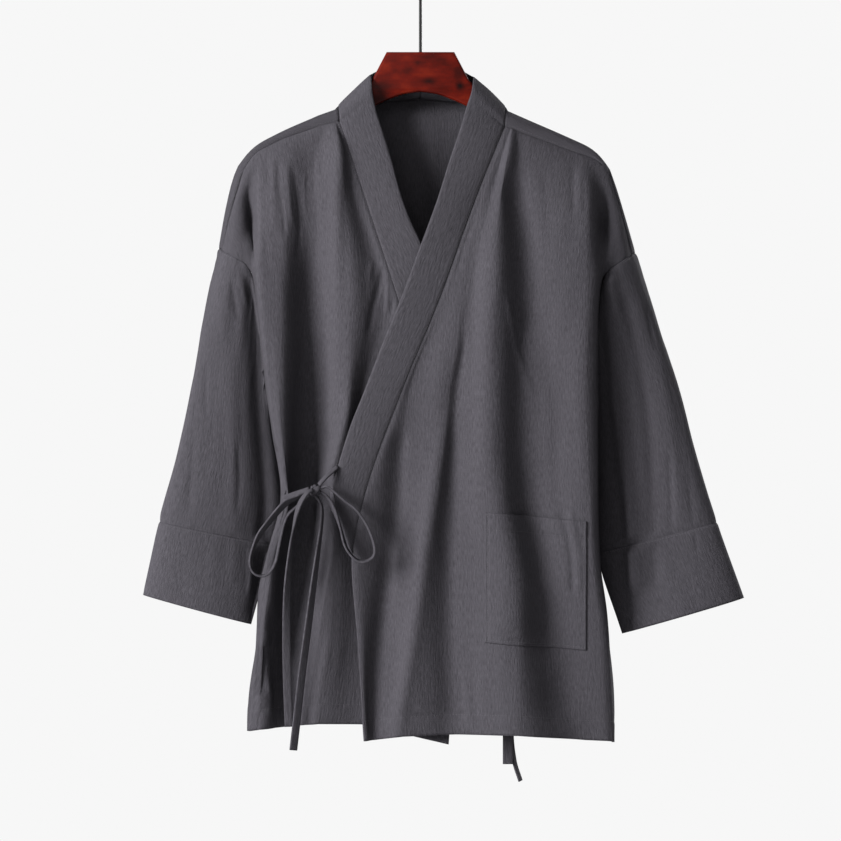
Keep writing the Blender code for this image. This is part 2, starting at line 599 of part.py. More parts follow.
def pocket_patch(panel):
    """Return the corners and faces of the pocket: the panel under it, cut out and moved out."""
    work = bmesh.new()
    rows, columns = panel.shape[:2]
    grid = [[work.verts.new(point) for point in row] for row in panel]
    for r in range(rows - 1):
        for c in range(columns - 1):
            work.faces.new((grid[r][c], grid[r][c + 1], grid[r + 1][c + 1]))
            work.faces.new((grid[r][c], grid[r + 1][c + 1], grid[r + 1][c]))
    ring = ("top inner", "top outer", "bottom outer", "bottom inner")
    for near, far in zip(ring, ring[1:] + ring[:1]):
        x, z = POCKET_CORNERS[near]
        run = POCKET_CORNERS[far][0] - x
        drop = POCKET_CORNERS[far][1] - z
        everything = work.verts[:] + work.edges[:] + work.faces[:]
        bmesh.ops.bisect_plane(work, geom=everything, plane_co=(x, 0.0, z),
                               plane_no=(-drop, 0.0, run), clear_outer=True, dist=0.0002)
    out = CLOTH / 2 + LAID_ON + POCKET_CLOTH / 2
    corners = [(v.co.x, v.co.y - out, v.co.z) for v in work.verts]
    work.verts.index_update()
    faces = [[v.index for v in face.verts] for face in work.faces]
    work.free()
    return corners, faces


def ribbon_patch(ribbon):
    """Return the two long edges of a ribbon as rows of points."""
    line = along(ribbon.route, ribbon.steps)
    rows = []
    for i, (x, y, z, turn) in enumerate(line):
        ahead = line[min(i + 1, ribbon.steps)] - line[max(i - 1, 0)]
        flat = np.array([-ahead[2], 0.0, ahead[0]]) / math.hypot(ahead[0], ahead[2])
        across = flat * math.cos(math.radians(turn))
        across[1] = math.sin(math.radians(turn))
        middle = np.array([x, y, z])
        rows.append([middle - across * ribbon.width / 2, middle + across * ribbon.width / 2])
    return np.array(rows)


def weld(patches):
    """Return the corners and triangles of patches of points that share their edges."""
    corners = []
    index = {}
    faces = []
    for patch in patches:
        rows, columns = patch.shape[:2]
        ids = np.empty((rows, columns), dtype=int)
        for r in range(rows):
            for c in range(columns):
                key = tuple(np.round(patch[r, c], 7))
                if key not in index:
                    index[key] = len(corners)
                    corners.append(tuple(patch[r, c]))
                ids[r, c] = index[key]
        for r in range(rows - 1):
            for c in range(columns - 1):
                near, side, far, below = ids[r, c], ids[r, c + 1], ids[r + 1, c + 1], ids[r + 1, c]
                for face in ((near, side, far), (near, far, below)):
                    if len(set(face)) == 3:
                        faces.append([int(k) for k in face])
    return corners, faces


def cloth_object(name, surface, wall, outward, material, collection):
    """Make one solid piece of cloth from the corners and faces of its middle surface.

    outward is a point and a direction: the wall's outer side near the point faces that way.
    """
    mesh = bpy.data.meshes.new(name)
    mesh.from_pydata(surface[0], [], surface[1])
    orient(mesh, outward)
    mesh.materials.append(material)
    mesh.shade_smooth()
    obj = bpy.data.objects.new(name, mesh)
    collection.objects.link(obj)
    solid = obj.modifiers.new("wall", "SOLIDIFY")
    solid.thickness = wall
    solid.offset = 0.0
    solid.use_even_offset = False
    return obj


def orient(mesh, outward):
    """Make the faces agree, and turn them all where the face nearest a point faces away."""
    work = bmesh.new()
    work.from_mesh(mesh)
    bmesh.ops.recalc_face_normals(work, faces=work.faces)
    place, direction = np.array(outward[0]), np.array(outward[1])
    nearest = min(work.faces, key=lambda f: np.linalg.norm(np.array(f.calc_center_median()) - place))
    if np.dot(np.array(nearest.normal), direction) < 0:
        bmesh.ops.reverse_faces(work, faces=work.faces)
    work.to_mesh(mesh)
    work.free()


def hanger_outline():
    """Return the outline of the wooden board as (x, z), crown and arms."""
    crown = [(0.0410, CROWN_TOP), (0.0585, -0.1445)]
    top = along(((0.0585, -0.1445), (0.0850, -0.1712), (0.1040, -0.1840),
                 (0.1270, -0.1930), (0.1620, -0.2085), (0.1900, -0.2225), (0.2020, -0.2335)),
                BOARD_STEPS)
    tip = [(0.2050, -0.2390), (0.2020, -0.2460)]
    below = along(((0.1950, -0.2490), (0.1500, -0.2370), (0.1000, -0.2060),
                   (0.0560, -0.1765), (0.0360, -0.1675), (0.0180, -0.1615), (0.0, -0.1590)),
                  BOARD_STEPS)
    right = crown + [tuple(p) for p in top[1:]] + tip + [tuple(p) for p in below]
    left = [(-x, z) for x, z in right[:-1]][::-1]
    return right + left


def hanger_board(material, collection):
    """Make the wooden board from its flat outline, with rounded edges."""
    curve = bpy.data.curves.new("hanger_wood", "CURVE")
    curve.dimensions = "2D"
    curve.fill_mode = "BOTH"
    curve.extrude = BOARD / 2 - BOARD_ROUND
    curve.bevel_depth = BOARD_ROUND
    curve.bevel_resolution = 1
    curve.offset = -BOARD_ROUND
    outline = hanger_outline()
    spline = curve.splines.new("POLY")
    spline.points.add(len(outline) - 1)
    for point, (x, z) in zip(spline.points, outline):
        point.co = (x, z, 0.0, 1.0)
    spline.use_cyclic_u = True
    curve.materials.append(material)
    obj = bpy.data.objects.new("hanger_wood", curve)
    obj.rotation_euler = (math.radians(90.0), 0.0, 0.0)
    collection.objects.link(obj)
    return obj


def hook_route():
    """Return the middle line of the hook: a straight shank, a swing aside and a round bend."""
    bend = HOOK_INSIDE + WIRE / 2
    centre = -HOOK_INSIDE
    root = CROWN_TOP + LAID_ON
    points = [(0.0, 0.0, root + (HOOK_ROOT - root) * k / 3) for k in range(4)]
    start = math.radians(205.0)
    end = math.radians(-25.0)
    arc_start = (bend * math.cos(start), 0.0, centre + bend * math.sin(start))
    swing = along((points[-1], (-0.004, 0.0, -0.046), (-0.0155, 0.0, -0.0375), arc_start), 5)
    points += [tuple(p) for p in swing[1:]]
    turns = 16
    for k in range(1, turns + 1):
        angle = start + (end - start) * k / turns
        points.append((bend * math.cos(angle), 0.0, centre + bend * math.sin(angle)))
    return points


def hanger_hook(material, collection):
    """Make the wire hook."""
    curve = bpy.data.curves.new("hanger_hook", "CURVE")
    curve.dimensions = "3D"
    curve.bevel_depth = WIRE / 2
    curve.bevel_resolution = 2
    curve.use_fill_caps = True
    route = hook_route()
    spline = curve.splines.new("POLY")
    spline.points.add(len(route) - 1)
    for point, place in zip(spline.points, route):
        point.co = (*place, 1.0)
    curve.materials.append(material)
    obj = bpy.data.objects.new("hanger_hook", curve)
    collection.objects.link(obj)
    return obj


def bow_knot(material, collection):
    """Make the small round knot of the bow."""
    bpy.ops.mesh.primitive_uv_sphere_add(segments=12, ring_count=8, radius=1.0)
    obj = bpy.context.object
    obj.name = "bow_knot"
    for vertex in obj.data.vertices:
        fuller = [math.copysign(abs(c) ** KNOT_SQUARENESS, c) for c in vertex.co]
        vertex.co = [c * r for c, r in zip(fuller, KNOT_RADII)]
    obj.location = KNOT_CENTRE
    obj.data.shade_smooth()
    obj.data.materials.append(material)
    for owner in list(obj.users_collection):
        owner.objects.unlink(obj)
    collection.objects.link(obj)
    return obj


def main():
    """Build the whole jacket and its hanger."""
    clear_scene()
    collection = make_collection("meditation_kimono")
    linen = make_material("charcoal_linen", (0.10, 0.095, 0.11), 0.92)
    wood = make_material("red_brown_wood", (0.19, 0.02, 0.01), 0.35)
    metal = make_material("black_metal", (0.02, 0.02, 0.02), 0.4, 0.8)

    hanger_board(wood, collection)
    hanger_hook(metal, collection)

    to_front = ((0.0, -0.1, -0.5), (0.0, -1.0, 0.0))
    to_back = ((0.0, 0.1, -0.6), (0.0, 1.0, 0.0))
    left = front_panel(LEFT_FRONT, LEFT_SIDE)
    right = front_panel(RIGHT_FRONT, RIGHT_SIDE)
    back = back_panel()
    cloth_object("back", weld(back), CLOTH, to_back, linen, collection)
    cloth_object("front_right", weld(right), CLOTH, to_front, linen, collection)
    cloth_object("front_left", weld(left), CLOTH, to_front, linen, collection)

    for name, side, x in (("right", RIGHT_SIDE, -0.25), ("left", LEFT_SIDE, 0.28)):
        outside = ((x, -0.2, -0.6), (0.0, -1.0, 0.0))
        sleeve = sleeve_patch(side, 0.0, CUFF_SEAM, SLEEVE_ROWS)
        cuff = sleeve_patch(side, CUFF_SEAM, 1.0, CUFF_ROWS)
        cuff[0, :, 2] -= SEAM
        cloth_object("sleeve_" + name, weld([sleeve]), CLOTH, outside, linen, collection)
        cloth_object("cuff_" + name, weld([cuff]), CUFF_CLOTH, outside, linen, collection)

    top = back[0][0]
    middle = len(top) // 2
    first = NECK_FOLDS[0] * BACK_STEPS
    last = NECK_FOLDS[1] * BACK_STEPS
    right_neck = top[first:middle + 1][::-1]
    left_neck = top[middle:last + 1]
    right_band = band_patch(RIGHT_BAND, right_neck, back[2][1, 0], RIGHT_FRONT[0])
    left_band = band_patch(LEFT_BAND, left_neck, back[4][1, 0], LEFT_FRONT[0])
    right_band[0, :, 0] -= SEAM
    cloth_object("collar_right", weld([right_band]), BAND_CLOTH, to_front, linen, collection)
    cloth_object("collar_left", weld([left_band]), BAND_CLOTH, to_front, linen, collection)

    pocket = pocket_patch(left[0])
    cloth_object("pocket", pocket, POCKET_CLOTH, to_front, linen, collection)
    for ribbon in TIES:
        cloth_object(ribbon.name, weld([ribbon_patch(ribbon)]), TIE_CLOTH, to_front, linen, collection)
    bow_knot(linen, collection)


main()
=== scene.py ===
"""A meditation kimono on its wooden hanger, dressed for the render.

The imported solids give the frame. Every piece of cloth is made again here as a thin shell on
the same fold lines, with its creases, seams, hems and stitches, and takes its solid's place.
Sizes are metres in the frame's own axes: X runs to the wearer's left, -Y is the front and
+Z is up. The origin is the inner top of the hanger's hook. The tables of lines, ties and
creases are in millimetres, on the same axes.
"""

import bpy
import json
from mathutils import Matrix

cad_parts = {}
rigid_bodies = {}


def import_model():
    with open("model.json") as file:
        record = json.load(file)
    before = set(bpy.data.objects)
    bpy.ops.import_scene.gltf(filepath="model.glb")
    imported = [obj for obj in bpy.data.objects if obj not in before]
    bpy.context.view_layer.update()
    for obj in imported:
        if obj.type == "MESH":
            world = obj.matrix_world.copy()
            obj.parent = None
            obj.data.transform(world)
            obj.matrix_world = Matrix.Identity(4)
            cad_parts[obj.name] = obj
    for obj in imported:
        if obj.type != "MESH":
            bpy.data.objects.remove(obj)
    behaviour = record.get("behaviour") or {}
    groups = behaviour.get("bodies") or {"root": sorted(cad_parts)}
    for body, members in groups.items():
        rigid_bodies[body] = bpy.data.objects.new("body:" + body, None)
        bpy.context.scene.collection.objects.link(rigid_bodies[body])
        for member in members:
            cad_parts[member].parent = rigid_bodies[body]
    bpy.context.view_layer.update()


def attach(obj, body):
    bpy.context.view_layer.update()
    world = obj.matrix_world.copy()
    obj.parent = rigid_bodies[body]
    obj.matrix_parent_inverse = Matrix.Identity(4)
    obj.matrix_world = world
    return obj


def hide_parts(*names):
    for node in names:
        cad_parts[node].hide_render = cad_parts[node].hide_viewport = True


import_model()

import copy
import json
import logging
import math
from dataclasses import dataclass, field
from enum import Enum

import bmesh
import bpy
import numpy as np
from mathutils import Vector
from mathutils.bvhtree import BVHTree

LOG = logging.getLogger("kimono")
Points = np.ndarray
Numbers = tuple[float, ...]
Pair = tuple[float, float]
Point = tuple[float, float, float]
Socket = bpy.types.NodeSocket
Material = bpy.types.Material
Thing = bpy.types.Object
Inputs = dict[str | int, object]

# The frame's own cloth sizes
LEVELS = (-0.292, -0.412, -0.532, -0.652, -0.724, -0.820)
FRONT_SETTLE = 0.035
BACK_SETTLE = 0.014
UNDERARM = 0.415
CAP_ROWS = (0.0, 0.0241, 0.125, 0.25, 0.375, 0.5, 0.625, 0.75, 0.875, 1.0)
CAP_COLUMNS = 4
CAP_SMOOTHING = 2
FRONT_GROOVE = 0.026
BACK_GROOVE = -0.010
GROOVE_END = 0.5
GROOVE_ACROSS = (0.0, 1.0, 0.45, 0.1, 0.0)
SLIT_TOP = -0.832
SLIT_FLARE = 0.003
TIE_WIDTH = 0.0098
INNER_TIE_WIDTH = 0.0122
KNOT_CENTRE = (-0.1255, -0.0600, -0.6405)

# Finer divisions of the cloth
FRONT_SPACING = 0.0026
BACK_SPACING = 0.0036
FEWEST_STEPS = 4
FOLD_SHARE = 0.85
ROWS_TO_UNDERARM = 88
ROWS_BELOW = 120
SIDE_COLUMNS = 12
STRIP_ROWS = 8
EDGE_PLACES = (0.18, 0.42, 0.70)

# Thickness, seams, hems and small wrinkles
SHELL = 0.0011
SEAM_GAP = 0.0005
SEAM_DEPTH = 0.0007
SEAM_REACH = 0.0030
SEAM_FADE = 0.012
LIP = 0.0022
LIP_CLOTH = 0.002
HEM = 0.024
HEM_FOLD = 0.0007
HEM_PUCKER = (0.008, 0.008, 0.00035)
STITCH_INSIDE = 0.0024
STITCH_CLEARANCE = 0.00005
WRINKLES = ((0.034, 0.260, 0.00090), (0.016, 0.110, 0.00050), (0.008, 0.050, 0.00022))


def mm(*values: object) -> Points:
    """Return numbers or points given in millimetres as an array in metres."""
    return np.array(values, dtype=float) / 1000.0


@dataclass(frozen=True)
class Fold:
    """One hanging fold or edge of a panel: x and y hold one value for each of LEVELS."""

    name: str
    top: Points
    x: Points
    y: Points
    foot: Points

    def at(self, fractions: Points, settle: float) -> Points:
        """Return the fold's points at fractions of its way down.

        Args:
            fractions: The places, from 0 at the shoulder to 1 at the hem.
            settle: How fast the cloth reaches its hanging depth.

        Returns:
            One point for each fraction.
        """
        z = self.top[2] + (self.foot[2] - self.top[2]) * fractions
        drops = [*(-level for level in LEVELS), -self.foot[2]]
        x = monotone([-self.top[2], *drops], [self.top[0], *self.x, self.foot[0]], -z)
        y = monotone(drops, [*self.y, self.foot[1]], -z)
        y = self.top[1] + (y - self.top[1]) * (1.0 - np.exp(-(self.top[2] - z) / settle))
        return np.stack([x, y, z], axis=1)


@dataclass(frozen=True)
class SideLines:
    """The lines of one side of the jacket, each an array of points or one point."""

    armhole_front: Points
    armhole_back: Points
    cap_seam: Points
    cap_ridge: Points
    forward_seam: Points
    side_seam: Points
    front_slit_foot: Points
    back_slit_foot: Points
    sleeve_fold: Points
    sleeve_seam: Points


# The hanging folds of each panel: its top, x and y at LEVELS, and its foot
LEFT_FRONT = (
    Fold("edge", mm(102, -17, -202), mm(66, 23, -26, -68, -82, -75),
         mm(-34, -42, -46, -48, -48, -47), mm(-67, -46, -942)),
    Fold("hollow beside the band", mm(104, -17, -202), mm(70, 29, -14, -22, -32, -44),
         mm(-34, -42, -43, -37, -35, -36), mm(-55, -38, -941)),
    Fold("inner ridge", mm(106, -17, -203), mm(76, 50, 34, 19, 8, -5),
         mm(-35, -45, -50, -50, -50, -50), mm(-21, -50, -936)),
    Fold("inner hollow", mm(108, -17, -204), mm(82, 57, 44, 39, 37, 41),
         mm(-35, -45, -47, -43, -42, -42), mm(42, -43, -934)),
    Fold("long ridge", mm(111, -18, -205), mm(97, 90, 88, 91, 105, 112),
         mm(-44, -58, -62, -62, -62, -64), mm(117, -66, -934)),
    Fold("long hollow", mm(118, -17, -208), mm(123, 139, 151, 143, 155, 178),
         mm(-33, -42, -43, -44, -43, -41), mm(198, -38, -941)),
    Fold("outer ridge", mm(193, -15, -235), mm(200, 197, 197, 202, 206, 216),
         mm(-36, -50.5, -55, -55, -53, -45.5), mm(224, -39.5, -942)),
    Fold("side turn", mm(205, -14, -239), mm(210, 210.5, 211, 212, 215, 226.2),
         mm(-32.5, -47, -51, -51.5, -49.5, -43.5), mm(232.5, -37, -943)),
)

RIGHT_FRONT = (
    Fold("edge", mm(-98, -17, -196), mm(-66, -27, 11, 42, 49, 42),
         mm(-30, -36, -30, -27, -27, -27), mm(33, -28, -947)),
    Fold("hollow under the overlap", mm(-100, -17, -196), mm(-77, -45, -70, -82, -78, -70),
         mm(-29, -32, -29, -30, -28, -27), mm(-70, -27, -923)),
    Fold("long ridge", mm(-103, -17, -197), mm(-92, -83, -87, -109, -104, -109),
         mm(-38, -44, -42, -40, -38, -38), mm(-123, -36, -922)),
    Fold("deep hollow", mm(-119, -16, -201), mm(-138, -124, -121, -130, -139, -148),
         mm(-24, -20, -8, -1, 0, -6), mm(-154, -14, -926)),
    Fold("outer ridge", mm(-164, -15, -216), mm(-165, -169, -169, -159, -176, -189),
         mm(-33, -40, -42, -44, -38, -34), mm(-194, -34, -929)),
    Fold("side turn", mm(-199, -14, -233), mm(-198, -194, -182, -166, -185, -197),
         mm(-30, -38, -38, -41, -34, -29), mm(-205, -30, -931)),
)

BACK = (
    Fold("right side turn", mm(-192, 0, -219), mm(-193, -189, -180, -168, -180, -194),
         mm(28, 30, 14, 6, 8, 12), mm(-208, 18, -923)),
    Fold("right ridge", mm(-160, 0, -203), mm(-159, -159, -157, -150, -155, -159),
         mm(36, 42, 44, 42, 44, 46), mm(-164, 46, -925)),
    Fold("right hollow", mm(-124, 0, -186), mm(-122, -118, -110, -105, -108, -110),
         mm(28, 30, 30, 30, 30, 32), mm(-110, 32, -924)),
    Fold("right neck point", mm(-100, 1, -177), mm(-98, -94, -90, -85, -86, -88),
         mm(23, 26, 31, 34, 34, 36), mm(-90, 36, -926)),
    Fold("right inner ridge", mm(-68, 36, -171), mm(-57, -59, -56, -49, -52, -59),
         mm(22, 25, 34, 42, 42, 42), mm(-64, 42, -928)),
    Fold("centre hollow", mm(1, 50, -164), mm(1, 1, 1, 3, 4, 5), mm(18, 18, 25, 30, 30, 30),
         mm(7, 30, -932)),
    Fold("left inner ridge", mm(70, 36, -171), mm(56, 51, 58, 60, 65, 73),
         mm(22, 25, 34, 43, 44, 44), mm(78, 44, -936)),
    Fold("left neck point", mm(103, 1, -178), mm(100, 96, 98, 102, 106, 110),
         mm(23, 26, 31, 34, 34, 36), mm(114, 36, -938)),
    Fold("left hollow", mm(125, 0, -188), mm(124, 119, 121, 126, 131, 136),
         mm(28, 30, 30, 30, 30, 32), mm(143, 32, -939)),
    Fold("left ridge", mm(164, 0, -206), mm(170, 173, 173, 178, 183, 187),
         mm(38, 43, 44, 44, 44, 44), mm(195, 44, -942)),
    Fold("left side turn", mm(199, 0, -222), mm(213, 210, 206, 205, 207, 218),
         mm(28, 30, 22, 20, 18, 12), mm(232, 18, -942)),
)
NECK_FOLDS = (3, 7)
CENTRE_FOLD = 5

RIGHT_SIDE = SideLines(
    armhole_front=mm((-240, -12, -352), (-230, -20, -357), (-220, -23, -362), (-210, -23, -369),
        (-203, -20, -382), (-198.5, -16, -408), (-194.5, -12, -446), (-190.5, -9, -490),
        (-186.5, 1, -527)),
    armhole_back=mm((-245, 5, -350), (-240, 16, -352), (-232, 25, -356), (-220, 28, -361),
        (-208, 26, -372), (-199.5, 21, -400), (-194.5, 17, -440), (-190.5, 12, -486),
        (-186.5, 1, -527)),
    cap_seam=mm((-199, -14, -233), (-210, -13, -246), (-220, -12, -275), (-230, -12, -310),
        (-240, -12, -352)),
    cap_ridge=mm((-192, 0, -219), (-210.5, 0, -229.5), (-226.5, 1, -257), (-237, 3, -300),
        (-245, 5, -350)),
    forward_seam=mm((-98, -17, -196), (-119, -16, -201), (-164, -15, -216), (-199, -14, -233)),
    side_seam=mm((-186.5, 1, -527), (-179, -10, -575), (-168.5, -29, -645), (-185, -21, -718),
        (-196.5, -15, -768), (-199, -12, -832)),
    front_slit_foot=mm(-209, -22, -931),
    back_slit_foot=mm(-210, 4, -925),
    sleeve_fold=mm((-245, 5, -350), (-263, 4, -433), (-278, 5, -515), (-295, 6, -598),
        (-316, 6, -680), (-335, 4, -768)),
    sleeve_seam=mm((-186.5, 1, -527), (-179.5, 10, -573), (-171.8, 15, -618), (-167.7, 17, -663),
        (-180.5, 14, -708), (-206, -2, -803)),
)

LEFT_SIDE = SideLines(
    armhole_front=mm((255, -12, -357), (247, -20, -362), (238, -23, -368), (227.5, -23, -375),
        (220, -20, -387), (215.5, -16, -411), (214, -12, -447), (214, -9, -490), (215, 1, -527)),
    armhole_back=mm((261, 5, -355), (256, 16, -357), (249, 25, -360), (238, 28, -366),
        (227.5, 26, -377), (219.5, 21, -402), (217, 17, -442), (216, 12, -486), (215, 1, -527)),
    cap_seam=mm((205, -14, -239), (222, -13, -246), (234, -12, -277), (245, -12, -315),
        (255, -12, -357)),
    cap_ridge=mm((199, 0, -222), (217.5, 0, -233), (232, 1, -262), (247, 3, -308), (261, 5, -355)),
    forward_seam=mm((102, -17, -202), (118, -17, -208), (193, -15, -235), (205, -14, -239)),
    side_seam=mm((215, 1, -527), (214.2, -9, -590), (214.2, -15, -652), (216.5, -16, -724),
        (225, -14, -790), (228, -14, -832)),
    front_slit_foot=mm(233, -30, -944),
    back_slit_foot=mm(234, 4, -942),
    sleeve_fold=mm((261, 5, -355), (286, 1, -437), (312, -3, -518), (334, -6, -600),
        (358, -9, -681), (390, -8, -771)),
    sleeve_seam=mm((215, 1, -527), (213.8, 10, -575), (213.2, 13, -622), (213.2, 14, -670),
        (215.5, 12, -717), (245, -4, -814)),
)

# Cross lines of each collar half, from the centre back down: x, y and z of the free edge
# and, below the neck, the height of the seam
LEFT_BAND = (
    (1, 47, -121), (31, 42, -124), (50, 31, -131), (60, 14, -138), (64, 1, -142), (62, -16, -158),
    (56, -22, -177, -212), (48, -30, -205, -232), (35, -36, -244, -265), (20, -40, -292, -310),
    (1, -43, -344, -358), (-23, -45, -409, -426), (-46, -46, -466, -481), (-68, -48, -523, -540),
    (-85, -49, -566, -586), (-99, -50, -612, -636), (-105, -50, -638, -669),
    (-96, -50, -678, -700), (-87, -49, -709, -718),
)
RIGHT_BAND = (
    (1, 47, -121), (-30, 42, -124), (-48, 30, -130), (-58, 14, -136), (-59.5, 1, -138.5),
    (-58.5, -16, -156), (-54, -20, -180, -208), (-44, -26, -213, -229), (-34, -31, -246, -259),
    (-25, -34, -280, -294), (-13, -36, -314, -330), (1, -37, -344, -366), (17, -36, -382, -409),
    (35, -34, -430, -459), (52, -32, -482, -508), (66, -30, -532, -556), (74, -28, -580, -607),
    (76, -27, -617, -653), (66, -27, -659, -689), (54, -27, -708, -718),
)

# Upper and lower corners of the patch pocket, as (x, z)
POCKET_TOP = mm((77, -667), (199, -678))
POCKET_BOTTOM = mm((77, -823), (199, -833))


def monotone(stops: Numbers, values: Points, at: Points) -> Points:
    """Read a smooth line through (stops, values), without overshoot.

    Args:
        stops: Rising places where the values are known.
        values: One value or point for each stop.
        at: The places to read.

    Returns:
        One value or point for each place.
    """
    stops = np.asarray(stops, dtype=float)
    values = np.asarray(values, dtype=float)
    at = np.clip(np.atleast_1d(np.asarray(at, dtype=float)), stops[0], stops[-1])
    tail = (-1,) + (1,) * (values.ndim - 1)
    gap = np.diff(stops)
    rise = np.diff(values, axis=0) / gap.reshape(tail)
    slope = np.empty_like(values)
    slope[0] = rise[0]
    slope[-1] = rise[-1]
    product = rise[:-1] * rise[1:]
    total = np.where(product > 0, rise[:-1] + rise[1:], 1.0)
    slope[1:-1] = np.where(product > 0, 2.0 * product / total, 0.0)
    i = np.clip(np.searchsorted(stops, at) - 1, 0, len(stops) - 2)
    step = gap[i].reshape(tail)
    t = ((at - stops[i]) / gap[i]).reshape(tail)
    start = (1 + 2 * t) * (1 - t) ** 2 * values[i] + t * (1 - t) ** 2 * step * slope[i]
    end = t * t * (3 - 2 * t) * values[i + 1] - t * t * (1 - t) * step * slope[i + 1]
    return start + end


def read_line(points: Points, places: Points) -> Points:
    """Return the points at places from 0 to 1 along a smooth line through evenly spaced points."""
    return monotone(np.linspace(0.0, 1.0, len(points)), points, places)


def arc_lengths(points: Points) -> Points:
    """Return how far each point of a line lies from its start, measured along it."""
    steps = np.linalg.norm(np.diff(points, axis=0), axis=-1)
    return np.concatenate([[0.0], np.cumsum(steps)])


def even(steps: int) -> Points:
    """Return places from 0 to 1 at even steps."""
    return np.linspace(0.0, 1.0, steps + 1)


def ease(value: Points) -> Points:
    """Return a soft step from 0 to 1 of values that run from 0 to 1."""
    value = np.clip(value, 0.0, 1.0)
    return value * value * (3.0 - 2.0 * value)


def unit(vectors: Points) -> Points:
    """Return vectors at unit length."""
    return vectors / np.maximum(np.linalg.norm(vectors, axis=-1, keepdims=True), 1e-9)


def soften(grid: Points, middle: int, reach: int, passes: int) -> None:
    """Soften the rows of a grid around a middle row, in place.

    Args:
        grid: The grid of points; its swapped view softens columns.
        middle: The middle row.
        reach: How many rows to each side are softened.
        passes: How often.
    """
    rows = slice(middle - reach, middle + reach + 1)
    for _ in range(passes):
        before = grid[rows.start - 1:rows.stop - 1]
        after = grid[rows.start + 1:rows.stop + 1]
        grid[rows] = grid[rows] * 0.5 + (before + after) * 0.25


@dataclass(frozen=True)
class Crease:
    """A soft ridge or trough in hanging cloth, as seen from the front.

    Attributes:
        name: What it is, in plain words.
        path: Its points, as (x, z).
        width: How far it reaches to each side.
        height: How far it stands out; a hollow is negative.
        lean: Part by which the side on its left is wider than the other.
        fade: Length over which each end dies away.
    """

    name: str
    path: Points
    width: float
    height: float
    lean: float
    fade: float

    def height_at(self, x: Points, z: Points) -> Points:
        """Return how far the crease lifts the cloth.

        Args:
            x: Places across the cloth.
            z: Their heights.

        Returns:
            The lift at each place.
        """
        lengths = arc_lengths(self.path)
        nearest = np.full(x.shape, np.inf)
        signed = np.zeros(x.shape)
        place = np.zeros(x.shape)
        for near, far, before in zip(self.path, self.path[1:], lengths):
            run = far - near
            size = float(np.hypot(*run))
            t = np.clip(((x - near[0]) * run[0] + (z - near[1]) * run[1]) / size ** 2, 0.0, 1.0)
            dx = x - near[0] - t * run[0]
            dz = z - near[1] - t * run[1]
            far_off = np.hypot(dx, dz)
            closer = far_off < nearest
            nearest = np.where(closer, far_off, nearest)
            signed = np.where(closer, np.sign(dx * run[1] - dz * run[0]), signed)
            place = np.where(closer, (before + t * size) / lengths[-1], place)
        reach = self.width * (1.0 + self.lean * signed)
        ends = ease(np.minimum(place, 1.0 - place) * lengths[-1] / self.fade)
        return self.height * np.exp(-(nearest / reach) ** 2) * ends


def crease(name: str, width: float, height: float, fade: float, *path: Pair,
           lean: float = 0.0) -> Crease:
    """Return a crease whose sizes are given in millimetres."""
    return Crease(name, mm(*path), width / 1000.0, height / 1000.0, lean, fade / 1000.0)


def crease_height(creases: tuple[Crease, ...], grid: Points) -> Points:
    """Return how far all the creases together lift the cloth at each point of a grid."""
    x, z = grid[..., 0], grid[..., 2]
    return sum((one.height_at(x, z) for one in creases), np.zeros(x.shape))


@dataclass(frozen=True)
class Crinkle:
    """A field of small uneven wrinkles, the same on every run.

    Attributes:
        across: Size of a wrinkle across the cloth.
        along: Size of a wrinkle down the cloth.
        height: Height of the strongest wrinkles.
        seed: Number that fixes the pattern.
        cells: How many wrinkles there are before the pattern repeats.
        shift: Where in the pattern the cloth's middle lies.
        sway: How far the wrinkles wander across and along.
        pitch: How often they wander, for each wrinkle.
    """

    across: float
    along: float
    height: float
    seed: int
    cells: int = 64
    shift: Pair = (7.3, 3.1)
    sway: Pair = (0.35, 0.25)
    pitch: Pair = (1.7, 0.9)

    def over(self, sheet: "Sheet") -> Points:
        """Return the height of the wrinkles at each place of a sheet.

        Args:
            sheet: The sheet, whose cloth coordinates carry the pattern.

        Returns:
            The height at each place.
        """
        lattice = np.random.default_rng(self.seed).uniform(-1.0, 1.0, (self.cells, self.cells))
        u, v = sheet.uv[..., 0] / self.across, sheet.uv[..., 1] / self.along
        a = u + self.shift[0] + self.sway[0] * np.sin(v * self.pitch[0] + self.seed)
        b = v + self.shift[1] + self.sway[1] * np.sin(u * self.pitch[1])
        i = np.floor(a).astype(int)
        j = np.floor(b).astype(int)
        s = ease(a - i)
        t = ease(b - j)

        def at(row: Points, column: Points) -> Points:
            """Return the lattice's value at a row and a column."""
            return lattice[row % self.cells, column % self.cells]
        low = at(i, j) * (1 - s) + at(i + 1, j) * s
        high = at(i, j + 1) * (1 - s) + at(i + 1, j + 1) * s
        return self.height * (low * (1 - t) + high * t)


def wrinkles(sheet: "Sheet", seed: int) -> Points:
    """Return the small uneven wrinkles of washed cloth over a sheet."""
    return sum(Crinkle(*size, seed + k).over(sheet) for k, size in enumerate(WRINKLES))


class Edge(Enum):
    """The four edges of a sheet's grid."""

    TOP = "first row"
    BOTTOM = "last row"
    START = "first column"
    END = "last column"

    @property
    def across_rows(self) -> bool:
        """Say whether the edge is a row of the grid."""
        return self in (Edge.TOP, Edge.BOTTOM)

    @property
    def first(self) -> bool:
        """Say whether the edge is the first row or column."""
        return self in (Edge.TOP, Edge.START)

    def line(self, inside: int = 0) -> object:
        """Return the index of the grid line a number of lines inside this edge."""
        place = inside if self.first else -1 - inside
        return np.s_[place] if self.across_rows else np.s_[:, place]


SEWN_EDGES = (Edge.TOP, Edge.START, Edge.END)


